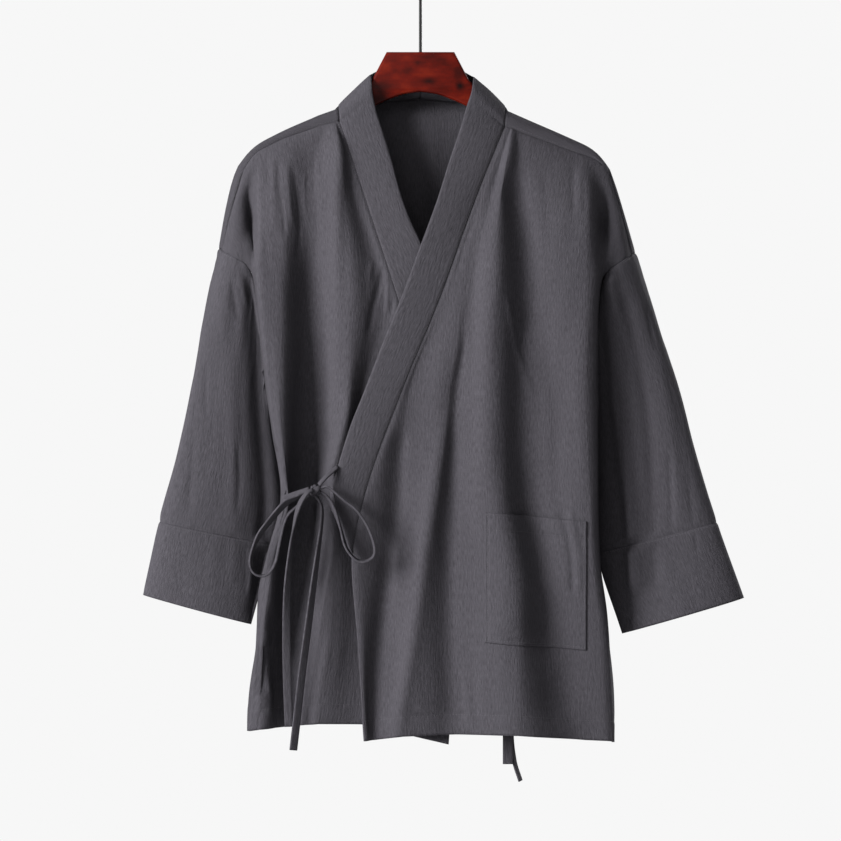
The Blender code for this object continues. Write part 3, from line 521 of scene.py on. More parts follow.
@dataclass
class Sheet:
    """A sheet of cloth on a grid of points, with rows down it and columns across it.

    Attributes:
        points: The middle of the cloth, as an array of rows, columns and 3.
        closed: True where the last column repeats the first, as on a sleeve.
        cells: Which cells of the grid are cloth.
        out: A direction that the outer side faces, at the grid's middle.
        uv: The cloth coordinates, across and down.
        thickness: The cloth's thickness at each place.
    """

    points: Points
    closed: bool = False
    cells: Points | None = None
    out: Point = (0.0, -1.0, 0.0)
    uv: Points = field(init=False)
    thickness: Points = field(init=False)

    def __post_init__(self) -> None:
        """Lay the cloth coordinates out and give the cloth its plain thickness."""
        rows, columns = self.points.shape[:2]
        if self.cells is None:
            self.cells = np.ones((rows - 1, columns - 1), dtype=bool)
        across = self.distance_from(Edge.START)
        across = across - across[:, columns // 2:columns // 2 + 1] * (not self.closed)
        self.uv = np.stack([across, self.distance_from(Edge.TOP)], axis=-1)
        self.thickness = np.full((rows, columns), SHELL)

    def quads(self) -> tuple[Points, Points]:
        """Return the faces of the cloth.

        Returns:
            The faces as vertex numbers, and as places in the flat grid.
        """
        def corners(grid: Points) -> Points:
            """Return the four corners of each cell that is cloth."""
            around = [grid[:-1, :-1], grid[:-1, 1:], grid[1:, 1:], grid[1:, :-1]]
            return np.stack(around, axis=-1)[self.cells]
        rows, columns = self.points.shape[:2]
        places = np.arange(rows * columns).reshape(rows, columns)
        return corners(self.ids()), corners(places)

    def ids(self) -> Points:
        """Number the vertices.

        Returns:
            The number of the vertex at each place, shared where the sheet closes.
        """
        rows, columns = self.points.shape[:2]
        numbers = np.arange(rows * columns).reshape(rows, columns)
        if self.closed:
            numbers[:, -1] = numbers[:, 0]
        return numbers

    def normals(self) -> Points:
        """Return the unit normals on the outer side.

        Returns:
            One normal for each place of the grid.
        """
        flat = self.points.reshape(-1, 3)
        quads, _ = self.quads()
        a, b, c, d = (flat[quads[:, k]] for k in range(4))
        face = np.cross(c - a, b - d)
        total = np.zeros_like(flat)
        for k in range(4):
            np.add.at(total, quads[:, k], face)
        normal = unit(total[self.ids()])
        row = normal.shape[0] // 2
        if self.closed:
            column, outward = 3, self.points[row, 3] - self.points[row].mean(axis=0)
        else:
            column, outward = normal.shape[1] // 2, np.array(self.out)
        return normal if np.dot(normal[row, column], outward) > 0 else -normal

    def lift(self, height: Points) -> None:
        """Move the cloth outwards by a height at each place."""
        if self.closed:
            height[:, -1] = height[:, 0]
        self.points = self.points + self.normals() * height[..., None]

    def distance_from(self, edge: Edge) -> Points:
        """Return how far each place lies from an edge.

        Args:
            edge: The edge.

        Returns:
            The distances, measured along the grid.
        """
        axis = 0 if edge.across_rows else 1
        steps = np.linalg.norm(np.diff(self.points, axis=axis), axis=-1)
        start = np.zeros_like(np.take(steps, [0], axis=axis))
        far = np.concatenate([start, np.cumsum(steps, axis=axis)], axis=axis)
        return far if edge.first else np.take(far, [-1], axis=axis) - far

    def near(self, *edges: Edge) -> Points:
        """Return how far each place lies from the nearest of some edges."""
        return np.minimum.reduce([self.distance_from(edge) for edge in edges])

    def press_seam(self, edge: Edge, depth: float = SEAM_DEPTH, reach: float = SEAM_REACH) -> None:
        """Press the cloth down beside a seam at an edge."""
        self.lift(-depth * np.exp(-(self.distance_from(edge) / reach) ** 2))

    def press_hem(self, edge: Edge, width: float, fold: float, seed: int) -> None:
        """Fold a hem at an edge: thicker cloth, a pressed stitch line and small puckers.

        Args:
            edge: The edge that is hemmed.
            width: Distance of the stitch line from the edge.
            fold: Thickness that the fold adds.
            seed: Number that fixes the puckers.
        """
        step, line_width, depth = 0.002, 0.0028, 0.0004
        far = self.distance_from(edge)
        self.thickness += fold * ease((width + step / 2 - far) / step)
        beside = np.exp(-((far - width) / line_width) ** 2)
        pucker = Crinkle(*HEM_PUCKER, seed)
        self.lift(-depth * beside + pucker.over(self) * beside)

    def line_inside(self, edge: Edge, distance: float, trim: int = 0) -> Points:
        """Return the line on the outer side that runs at a distance inside an edge.

        Args:
            edge: The edge that it follows.
            distance: How far inside it runs.
            trim: How many grid lines to leave off at each end.

        Returns:
            The points of the line.
        """
        above = self.thickness / 2 + STITCH_CLEARANCE
        surface = self.points + self.normals() * above[..., None]
        far = self.distance_from(edge)
        if not edge.across_rows:
            surface = surface.swapaxes(0, 1)
            far = far.T
        if not edge.first:
            surface = surface[::-1]
            far = far[::-1]
        return np.array([[np.interp(distance, far[:, c], surface[:, c, k]) for k in range(3)]
                         for c in range(trim, surface.shape[1] - trim)])

    def refine_edge(self, edge: Edge) -> None:
        """Put extra grid lines into the cell beside an edge, at EDGE_PLACES across it.

        Args:
            edge: The edge.
        """
        def denser(grid: Points) -> Points:
            """Put the lines into one of the sheet's grids.

            Args:
                grid: The grid.

            Returns:
                The grid with the extra lines.
            """
            turned = grid if edge.across_rows else grid.swapaxes(0, 1)
            turned = turned if edge.first else turned[::-1]
            extra = [turned[0] + (turned[1] - turned[0]) * place for place in EDGE_PLACES]
            turned = np.concatenate([turned[:1], np.array(extra), turned[1:]])
            turned = turned if edge.first else turned[::-1]
            return turned if edge.across_rows else turned.swapaxes(0, 1)
        self.points = denser(self.points)
        self.uv = denser(self.uv)
        self.thickness = denser(self.thickness)
        axis = 0 if edge.across_rows else 1
        beside = 0 if edge.first else self.cells.shape[axis] - 1
        line = np.take(self.cells, [beside], axis=axis)
        self.cells = np.insert(self.cells, [beside] * len(EDGE_PLACES), line, axis=axis)

    def turn_in(self, edge: Edge) -> None:
        """Turn the seam allowance in behind an edge, so that the seam is closed.

        Args:
            edge: The sewn edge.
        """
        at = edge.line()
        rim = self.points[at]
        outward = unit(rim - self.points[edge.line(1)])
        lip = rim - self.normals()[at] * LIP + outward * SEAM_GAP * 0.3
        axis = 0 if edge.across_rows else 1
        place = 0 if edge.first else self.points.shape[axis]
        cell = 0 if edge.first else self.cells.shape[axis]
        line = np.take(self.cells, [min(cell, self.cells.shape[axis] - 1)], axis=axis)
        self.points = np.insert(self.points, place, lip, axis=axis)
        self.uv = np.insert(self.uv, place, self.uv[at] + LIP_CLOTH, axis=axis)
        self.thickness = np.insert(self.thickness, place, self.thickness[at], axis=axis)
        self.cells = np.insert(self.cells, [cell], line, axis=axis)

    def shell(self, name: str, material: Material) -> Thing:
        """Make the closed shell of the sheet.

        Args:
            name: The new object's name.
            material: Its finish.

        Returns:
            The new object, linked to the scene.
        """
        normal = self.normals().reshape(-1, 3)
        flat = self.points.reshape(-1, 3)
        half = (self.thickness / 2).reshape(-1, 1)
        outer = flat + normal * half
        inner = flat - normal * half
        quads, places = self.quads()
        a, b, c, d = (outer[quads[:, k]] for k in range(4))
        agrees = np.einsum("ij,ij->", np.cross(c - a, b - d), normal[quads[:, 0]])
        if agrees > 0:
            quads, places = quads[:, ::-1], places[:, ::-1]
        count = len(flat)
        rim, rim_places = self.rim(quads, places, count)
        faces = np.concatenate([quads, quads[:, ::-1] + count, rim])
        loops = np.concatenate([places, places[:, ::-1], rim_places])
        uv = self.uv.reshape(-1, 2)[loops.reshape(-1)]
        used, compact = np.unique(faces.reshape(-1), return_inverse=True)
        mesh = bpy.data.meshes.new(name)
        vertices = np.concatenate([outer, inner])[used]
        mesh.from_pydata(vertices.tolist(), [], compact.reshape(-1, 4).tolist())
        layer = mesh.uv_layers.new(name="cloth")
        layer.data.foreach_set("uv", uv.astype(np.float32).reshape(-1))
        mesh.shade_smooth()
        mesh.materials.append(material)
        mesh.validate()
        return link(bpy.data.objects.new(name, mesh))

    @staticmethod
    def rim(quads: Points, places: Points, count: int) -> tuple[Points, Points]:
        """Return the faces that close the shell along the sheet's free edges.

        Args:
            quads: The outer faces, as vertex numbers.
            places: The same faces, as places in the flat grid.
            count: How many vertices the outer side has.

        Returns:
            The faces of the rim, as vertex numbers and as places.
        """
        starts = quads.reshape(-1)
        ends = np.roll(quads, -1, axis=1).reshape(-1)
        start_places = places.reshape(-1)
        end_places = np.roll(places, -1, axis=1).reshape(-1)
        ahead = starts.astype(np.int64) * count + ends
        back = ends.astype(np.int64) * count + starts
        free = ~np.isin(ahead, back)
        a, b = starts[free], ends[free]
        pa, pb = start_places[free], end_places[free]
        return (np.stack([b, a, a + count, b + count], axis=1),
                np.stack([pb, pa, pa, pb], axis=1))


def link(obj: Thing) -> Thing:
    """Put an object into the scene and return it."""
    bpy.context.scene.collection.objects.link(obj)
    return obj


class NodeTree:
    """A short way to build a node tree."""

    def __init__(self, tree: bpy.types.NodeTree) -> None:
        """Keep the tree that is built."""
        self.tree = tree

    def feed(self, node: bpy.types.Node, inputs: Inputs) -> None:
        """Link sources into a node's inputs, or set their values.

        Args:
            node: The node.
            inputs: A socket, number, vector or colour for each input's name or place.
        """
        for name, value in inputs.items():
            if isinstance(value, Socket):
                self.tree.links.new(value, node.inputs[name])
            else:
                node.inputs[name].default_value = value

    def add(self, kind: str, inputs: Inputs | None = None, **settings: object) -> bpy.types.Node:
        """Add a node.

        Args:
            kind: The node's type.
            inputs: Its inputs, as feed takes them.
            **settings: Its own properties.

        Returns:
            The node.
        """
        node = self.tree.nodes.new(kind)
        for name, value in settings.items():
            setattr(node, name, value)
        self.feed(node, inputs or {})
        return node

    def math(self, operation: str, first: object, second: object) -> Socket:
        """Add a Math node of two sockets or numbers and return its result."""
        return self.add("ShaderNodeMath", {0: first, 1: second}, operation=operation).outputs[0]

    def blend(self, *parts: tuple[Socket, float]) -> Socket:
        """Add up several sockets.

        Args:
            *parts: Each socket and its share.

        Returns:
            The socket with the sum.
        """
        shares = [self.math("MULTIPLY", socket, share) for socket, share in parts]
        total = shares[0]
        for share in shares[1:]:
            total = self.math("ADD", total, share)
        return total

    def ramp(self, source: Socket, *stops: tuple[float, Point]) -> Socket:
        """Add a colour ramp.

        Args:
            source: The value that it colours.
            *stops: Each place and its colour.

        Returns:
            The socket with the colour.
        """
        node = self.add("ShaderNodeValToRGB", {"Fac": source})
        elements = node.color_ramp.elements
        while len(elements) < len(stops):
            elements.new(0.5)
        for element, (place, colour) in zip(elements, stops):
            element.position = place
            element.color = (*colour, 1.0)
        return node.outputs["Color"]

    def noise(self, vector: Socket, scale: Point, detail: float, roughness: float = 0.5,
              place: Point = (0.0, 0.0, 0.0)) -> Socket:
        """Add a noise whose scale differs along each axis.

        Args:
            vector: The coordinates.
            scale: How fine it is along each axis.
            detail: How many finer layers it has.
            roughness: How strong they are.
            place: Where in the noise the object lies.

        Returns:
            The socket with its value.
        """
        mapping = self.add("ShaderNodeMapping",
                           {"Scale": scale, "Location": place, "Vector": vector})
        inputs = {"Scale": 1.0, "Detail": detail, "Roughness": roughness,
                  "Vector": mapping.outputs["Vector"]}
        return self.add("ShaderNodeTexNoise", inputs).outputs["Fac"]


class Paint(NodeTree):
    """The node tree of a new material with one shader."""

    def __init__(self, name: str, **inputs: float) -> None:
        """Make the material and set some of the shader's inputs.

        Args:
            name: The material's name.
            **inputs: The inputs' values, with _ for each space in a name.
        """
        self.material = bpy.data.materials.new(name)
        self.material.use_nodes = True
        super().__init__(self.material.node_tree)
        self.dress({title.replace("_", " "): value for title, value in inputs.items()})

    def dress(self, inputs: Inputs) -> None:
        """Feed the shader's inputs."""
        self.feed(self.tree.nodes["Principled BSDF"], inputs)

    def place(self) -> Socket:
        """Return the object's own coordinates."""
        return self.add("ShaderNodeTexCoord").outputs["Object"]

    def bump(self, height: Socket, strength: float, distance: float) -> None:
        """Give the shader a fine relief, with its strength and its depth in metres."""
        bump = self.add("ShaderNodeBump",
                        {"Strength": strength, "Distance": distance, "Height": height})
        self.dress({"Normal": bump.outputs["Normal"]})


@dataclass(frozen=True)
class LinenFinish:
    """Charcoal washed linen and cotton: a plain weave with uneven yarns down the cloth.

    Attributes:
        name: The material's name.
        dark: Colour of the thin places of the yarn.
        light: Colour of the thick places.
        thread: Pitch of the weave.
        relief: Depth of the yarns.
    """

    name: str = "charcoal_linen_cloth"
    dark: Point = (0.0098, 0.0092, 0.0107)
    light: Point = (0.0250, 0.0236, 0.0272)
    thread: float = 0.0009
    relief: float = 0.00035

    def material(self) -> Material:
        """Build the material from uneven yarns, a faint cloudiness and the weave.

        Returns:
            The material.
        """
        paint = Paint(self.name, Roughness=0.92, Specular_IOR_Level=0.02)
        where = paint.add("ShaderNodeUVMap", uv_map="cloth").outputs["UV"]
        yarns = paint.noise(where, (1100.0, 130.0, 1.0), 4.0, 0.62)
        cross = paint.noise(where, (45.0, 900.0, 1.0), 3.0, 0.55, (3.0, 1.0, 0.0))
        cloud = paint.noise(where, (22.0, 9.0, 1.0), 3.0, 0.5, (1.0, 4.0, 0.0))
        specks = paint.noise(where, (1700.0, 1500.0, 1.0), 2.0, 0.5)
        mixed = paint.blend((yarns, 0.60), (cross, 0.08), (cloud, 0.07), (specks, 0.25))
        paint.dress({"Base Color": paint.ramp(mixed, (0.34, self.dark), (0.66, self.light))})
        crinkle = paint.noise(where, (400.0, 75.0, 1.0), 3.0, 0.55, (5.0, 2.0, 0.0))
        height = paint.blend((mixed, 1.1), (self.weave(paint, where), 0.30), (crinkle, 3.0))
        paint.bump(height, 0.9, self.relief)
        return paint.material

    def weave(self, paint: Paint, where: Socket) -> Socket:
        """Build the relief of the plain weave.

        Args:
            paint: The tree that is built.
            where: The cloth coordinates.

        Returns:
            The socket with its height.
        """
        split = paint.add("ShaderNodeSeparateXYZ", {"Vector": where})
        turn = 2.0 * math.pi / self.thread
        warp, weft = (paint.math("SINE", paint.math("MULTIPLY", split.outputs[axis], turn), 0.5)
                      for axis in "XY")
        return paint.math("MULTIPLY", warp, weft)


@dataclass(frozen=True)
class ThreadFinish:
    """Sewing thread in the cloth's own colour, with a slight gloss."""

    name: str = "charcoal_thread"
    dark: Point = (0.013, 0.0127, 0.0143)
    light: Point = (0.029, 0.0277, 0.0315)

    def material(self) -> Material:
        """Build the material with a fine uneven tone.

        Returns:
            The material.
        """
        paint = Paint(self.name, Roughness=0.6, Specular_IOR_Level=0.15)
        grain = paint.noise(paint.place(), (900.0, 900.0, 900.0), 2.0)
        paint.dress({"Base Color": paint.ramp(grain, (0.3, self.dark), (0.7, self.light))})
        return paint.material


@dataclass(frozen=True)
class WoodFinish:
    """Stained and lacquered red-brown wood with flowing grain and knots.

    Attributes:
        name: The material's name.
        tones: The stain's colour from the darkest grain to the lightest, each with its place.
        knots: Each knot's x and z, its size across, how flat it is and how dark.
    """

    name: str = "lacquered_red_brown_wood"
    tones: tuple[tuple[float, Point], ...] = ((0.18, (0.0015, 0.0004, 0.0004)),
                                              (0.40, (0.012, 0.0007, 0.0003)),
                                              (0.52, (0.025, 0.0012, 0.0004)),
                                              (0.68, (0.046, 0.0034, 0.0008)))
    knots: tuple[Numbers, ...] = ((0.0098, -0.1466, 0.0068, 2.2, 0.25),
                                  (0.0475, -0.1525, 0.0045, 1.0, 0.36),
                                  (-0.0035, -0.1240, 0.0050, 1.5, 0.12),
                                  (-0.0490, -0.1640, 0.0090, 0.8, 0.14),
                                  (0.0460, -0.1400, 0.0070, 0.8, 0.10))

    def material(self) -> Material:
        """Build the material from warped grain, mottling and the knots.

        Returns:
            The material.
        """
        paint = Paint(self.name, Specular_IOR_Level=0.03, Coat_Weight=0.03, Coat_Roughness=0.25)
        place = paint.place()
        warp = paint.noise(place, (14.0, 14.0, 26.0), 3.0, 0.6)
        grain = paint.noise(place, (18.0, 60.0, 160.0), 5.0, 0.65)
        mottle = paint.noise(place, (38.0, 20.0, 60.0), 4.0, 0.6, (2.0, 0.0, 1.0))
        tone = paint.blend((warp, 0.40), (grain, 0.20), (mottle, 0.42))
        for knot in self.knots:
            tone = paint.math("SUBTRACT", tone, self.knot(paint, place, *knot))
        polish = paint.math("ADD", paint.math("MULTIPLY", grain, 0.25), 0.22)
        paint.dress({"Base Color": paint.ramp(tone, *self.tones), "Roughness": polish})
        paint.bump(tone, 0.35, 0.0003)
        return paint.material

    @staticmethod
    def knot(paint: Paint, place: Socket, x: float, z: float, radius: float, flatness: float,
             dark: float) -> Socket:
        """Build the darkness of one knot in the wood.

        Args:
            paint: The tree that is built.
            place: The object coordinates.
            x: The knot's place across the hanger.
            z: The knot's height.
            radius: Its size across.
            flatness: How many times wider than tall it is.
            dark: How dark its middle is.

        Returns:
            The socket with the darkness.
        """
        mapping = paint.add("ShaderNodeMapping", {"Location": (-x, 0.0, -z * flatness),
                                                  "Scale": (1.0, 0.0, flatness),
                                                  "Vector": place})
        length = paint.add("ShaderNodeVectorMath", {"Vector": mapping.outputs["Vector"]},
                           operation="LENGTH")
        near = paint.math("DIVIDE", length.outputs["Value"], radius)
        fall = paint.math("MULTIPLY", paint.math("MULTIPLY", near, near), -1.0)
        return paint.math("MULTIPLY", paint.math("POWER", 2.718, fall), dark)


@dataclass(frozen=True)
class WireFinish:
    """Satin black wire with faint wear."""

    name: str = "satin_black_wire"
    dark: Point = (0.001, 0.001, 0.0011)
    worn: Point = (0.005, 0.005, 0.0053)

    def material(self) -> Material:
        """Build the material with its wear.

        Returns:
            The material.
        """
        paint = Paint(self.name, Specular_IOR_Level=0.05)
        wear = paint.noise(paint.place(), (260.0, 260.0, 260.0), 4.0)
        polish = paint.math("ADD", paint.math("MULTIPLY", wear, 0.25), 0.25)
        colour = paint.ramp(wear, (0.35, self.dark), (0.75, self.worn))
        paint.dress({"Base Color": colour, "Roughness": polish})
        return paint.material


@dataclass
class Finishes:
    """The materials of the whole object."""

    linen: Material = field(default_factory=lambda: LinenFinish().material())
    thread: Material = field(default_factory=lambda: ThreadFinish().material())
    wood: Material = field(default_factory=lambda: WoodFinish().material())
    wire: Material = field(default_factory=lambda: WireFinish().material())


def dress(obj: Thing, node: str) -> None:
    """Let a piece ride on the body and stand for a node.

    Args:
        obj: The piece.
        node: The node that it stands for.
    """
    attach(obj, "root")
    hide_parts(node)
    area = sum(face.area for face in obj.data.polygons) / 2
    LOG.info("%s: %d faces, %.4f square metres", obj.name, len(obj.data.polygons), area)


def sew(sheet: Sheet, node: str, finishes: Finishes, kind: str = "cloth") -> Thing:
    """Make a sheet's shell in linen and let it stand for its node.

    Args:
        sheet: The sheet.
        node: The node that it stands for.
        finishes: The materials.
        kind: What it is, cloth or tape, as its name says.

    Returns:
        The piece.
    """
    obj = sheet.shell(node + "_" + kind, finishes.linen)
    dress(obj, node)
    return obj


def row_fractions() -> Points:
    """Return the fractions of the way down at which every panel has a row."""
    upper = np.linspace(0.0, UNDERARM, ROWS_TO_UNDERARM + 1)
    lower = np.linspace(UNDERARM, 1.0, ROWS_BELOW + 1)
    return np.concatenate([upper, lower[1:]])


def fold_places(folds: tuple[Fold, ...], spacing: float) -> Points:
    """Return the columns of a panel as places among its folds, denser where it is wide.

    Args:
        folds: The folds from one side to the other.
        spacing: Distance from one column to the next.

    Returns:
        The places; each whole number is a fold.
    """
    spots = np.array([[fold.top[0], *fold.x, fold.foot[0]] for fold in folds])
    places = [0.0]
    for i, widths in enumerate(np.abs(np.diff(spots, axis=0))):
        steps = max(FEWEST_STEPS, round(float(widths.max()) * FOLD_SHARE / spacing))
        places += [i + (k + 1) / steps for k in range(steps)]
    return np.array(places)


def hang(folds: tuple[Fold, ...], places: Points, fractions: Points, settle: float) -> Points:
    """Work out the grid of a panel that hangs between its folds.

    Args:
        folds: The folds from one side to the other.
        places: The columns, as places among the folds.
        fractions: The rows, as fractions of the way down.
        settle: How fast the cloth reaches its hanging depth.

    Returns:
        The grid of points.
    """
    lines = np.array([fold.at(fractions, settle) for fold in folds])
    i = np.clip(np.floor(places - 1e-9).astype(int), 0, len(folds) - 2)
    t = (places - i)[:, None, None]
    apart = lines[i + 1] - lines[i]
    grid = lines[i] + apart * t
    grid[..., 1] = lines[i][..., 1] + apart[..., 1] * (1 - np.cos(np.pi * t[..., 0])) / 2
    return grid.swapaxes(0, 1)


def side_line(side: SideLines, front: bool) -> Points:
    """Work out the side seam and slit edge below the underarm.

    Args:
        side: The lines of that side.
        front: True for the front, False for the back.

    Returns:
        One point for each row from the underarm down.
    """
    foot = side.front_slit_foot if front else side.back_slit_foot
    points = np.array([*side.side_seam, foot])
    heights = np.linspace(points[0, 2], points[-1, 2], ROWS_BELOW + 1)
    line = monotone(-points[:, 2], points, -heights)
    way = np.clip((line[:, 2] - SLIT_TOP) / (foot[2] - SLIT_TOP), 0.0, 1.0)
    line[:, 0] += np.copysign(SLIT_FLARE, line[:, 0]) * np.sin(np.pi * way)
    line[:, 1] += (-SEAM_GAP if front else SEAM_GAP) * 0.8
    return line


def cap_grid(turn: Points, top_line: Points, armhole: Points, groove: float) -> Points:
    """Work out the coarse cap of a drop shoulder, from the side turn out to the armhole.

    Args:
        turn: Points of the side turn at CAP_ROWS.
        top_line: Points of the cap's top line, one more than CAP_COLUMNS.
        armhole: Points of the armhole at CAP_ROWS.
        groove: Depth of the groove beside the body.

    Returns:
        The grid of points.
    """
    s = even(CAP_COLUMNS)[None, :, None]
    t = np.array(CAP_ROWS)[:, None, None]
    chord = (1 - s) * turn[0] + s * top_line[-1]
    cap = (1 - s) * turn[:, None] + s * armhole[:, None] + (1 - t) ** 2 * (top_line[None] - chord)
    for _ in range(CAP_SMOOTHING):
        around = cap[:-2, 1:-1] + cap[2:, 1:-1] + cap[1:-1, :-2] + cap[1:-1, 2:]
        cap[1:-1, 1:-1] = (cap[1:-1, 1:-1] + around / 4) / 2
    ramp = np.sin(np.pi * np.clip(t[..., 0] / GROOVE_END, 0.0, 1.0)) ** 2
    cap[..., 1] += groove * ramp * np.array(GROOVE_ACROSS)[None]
    return cap


def side_grid(turn: Points, top_line: Points, armhole: Points, lower: Points,
              groove: float) -> Points:
    """Work out the cloth from the side turn of a panel out to its armhole and side seam.

    Args:
        turn: The panel's side turn, one point for each row.
        top_line: The line over the top of the cap.
        armhole: The armhole's line.
        lower: The side seam, one point for each row from the underarm down.
        groove: Depth of the groove beside the body.

    Returns:
        The grid of points.
    """
    places = even(ROWS_TO_UNDERARM)
    columns = even(SIDE_COLUMNS)
    coarse = even(CAP_COLUMNS)
    last = ROWS_TO_UNDERARM
    hole = read_line(armhole, places)
    hole[-1] = lower[0]
    top, coarse_top = read_line(top_line, columns), read_line(top_line, coarse)
    top[0] = coarse_top[0] = turn[0]
    coarse_turn, coarse_hole = (monotone(places, line, CAP_ROWS) for line in (turn[:last + 1], hole))
    cap = monotone(CAP_ROWS, cap_grid(coarse_turn, coarse_top, coarse_hole, groove), places)
    cap = monotone(coarse, cap.swapaxes(0, 1), columns).swapaxes(0, 1)
    s = columns[None, :, None]
    t = places[:, None, None]
    cap += (1 - s) * (turn[:last + 1] - cap[:, 0])[:, None] + s * (hole - cap[:, -1])[:, None]
    cap += (1 - t) ** 4 * (top - cap[0])[None]
    straight = turn[last] + (hole[-1] - turn[last]) * columns[:, None]
    cap += t ** 4 * (straight - cap[-1])[None]
    below = turn[last + 1:, None] + (lower[1:] - turn[last + 1:])[:, None] * s
    return np.concatenate([cap, below])


@dataclass
class Panel:
    """What the two fronts and the back share.

    Attributes:
        name: The node that it stands for.
        creases: Its creases, as seen from the front.
        seed: Number that fixes its small wrinkles.
        sheet: Its cloth.
    """

    name: str
    creases: tuple[Crease, ...]
    seed: int
    sheet: Sheet = field(init=False)

    def crease(self, share: Points) -> None:
        """Put the creases and small wrinkles in, by a share at each place."""
        height = crease_height(self.creases, self.sheet.points) + wrinkles(self.sheet, self.seed)
        self.sheet.lift(height * share)

    def hem(self) -> None:
        """Fold the hem up along the bottom."""
        self.sheet.press_hem(Edge.BOTTOM, HEM, HEM_FOLD, self.seed)

    def build(self, finishes: Finishes) -> Thing:
        """Make the panel, with its seam allowances turned in.

        Args:
            finishes: The materials.

        Returns:
            The piece.
        """
        made = copy.copy(self.sheet)
        for edge in SEWN_EDGES:
            made.turn_in(edge)
        return sew(made, self.name, finishes)


@dataclass
class FrontPanel(Panel):
    """One front of the jacket, from the forward shoulder seam to the hem.

    Attributes:
        folds: Its folds, from the collar seam to the side turn.
        side: The lines of its side.
    """

    folds: tuple[Fold, ...]
    side: SideLines

    def __post_init__(self) -> None:
        """Work the panel's surface out."""
        main = hang(self.folds, fold_places(self.folds, FRONT_SPACING), row_fractions(),
                    FRONT_SETTLE)
        side = side_grid(main[:, -1], self.side.cap_seam, self.side.armhole_front,
                         side_line(self.side, True), FRONT_GROOVE)
        turn = main.shape[1] - 1
        self.sheet = Sheet(np.concatenate([main, side[:, 1:]], axis=1))
        soften(self.sheet.points.swapaxes(0, 1), turn, 3, 6)
        self.crease(ease(self.sheet.near(*SEWN_EDGES) / SEAM_FADE))
        for edge in (Edge.START, Edge.END, Edge.TOP):
            self.sheet.refine_edge(edge)
        for edge in SEWN_EDGES:
            self.sheet.press_seam(edge)
        self.hem()

    def stitch_lines(self) -> list[Points]:
        """Return the lines of stitches on the panel."""
        return [self.sheet.line_inside(Edge.BOTTOM, HEM, 1),
                self.sheet.line_inside(Edge.START, STITCH_INSIDE, 2)]


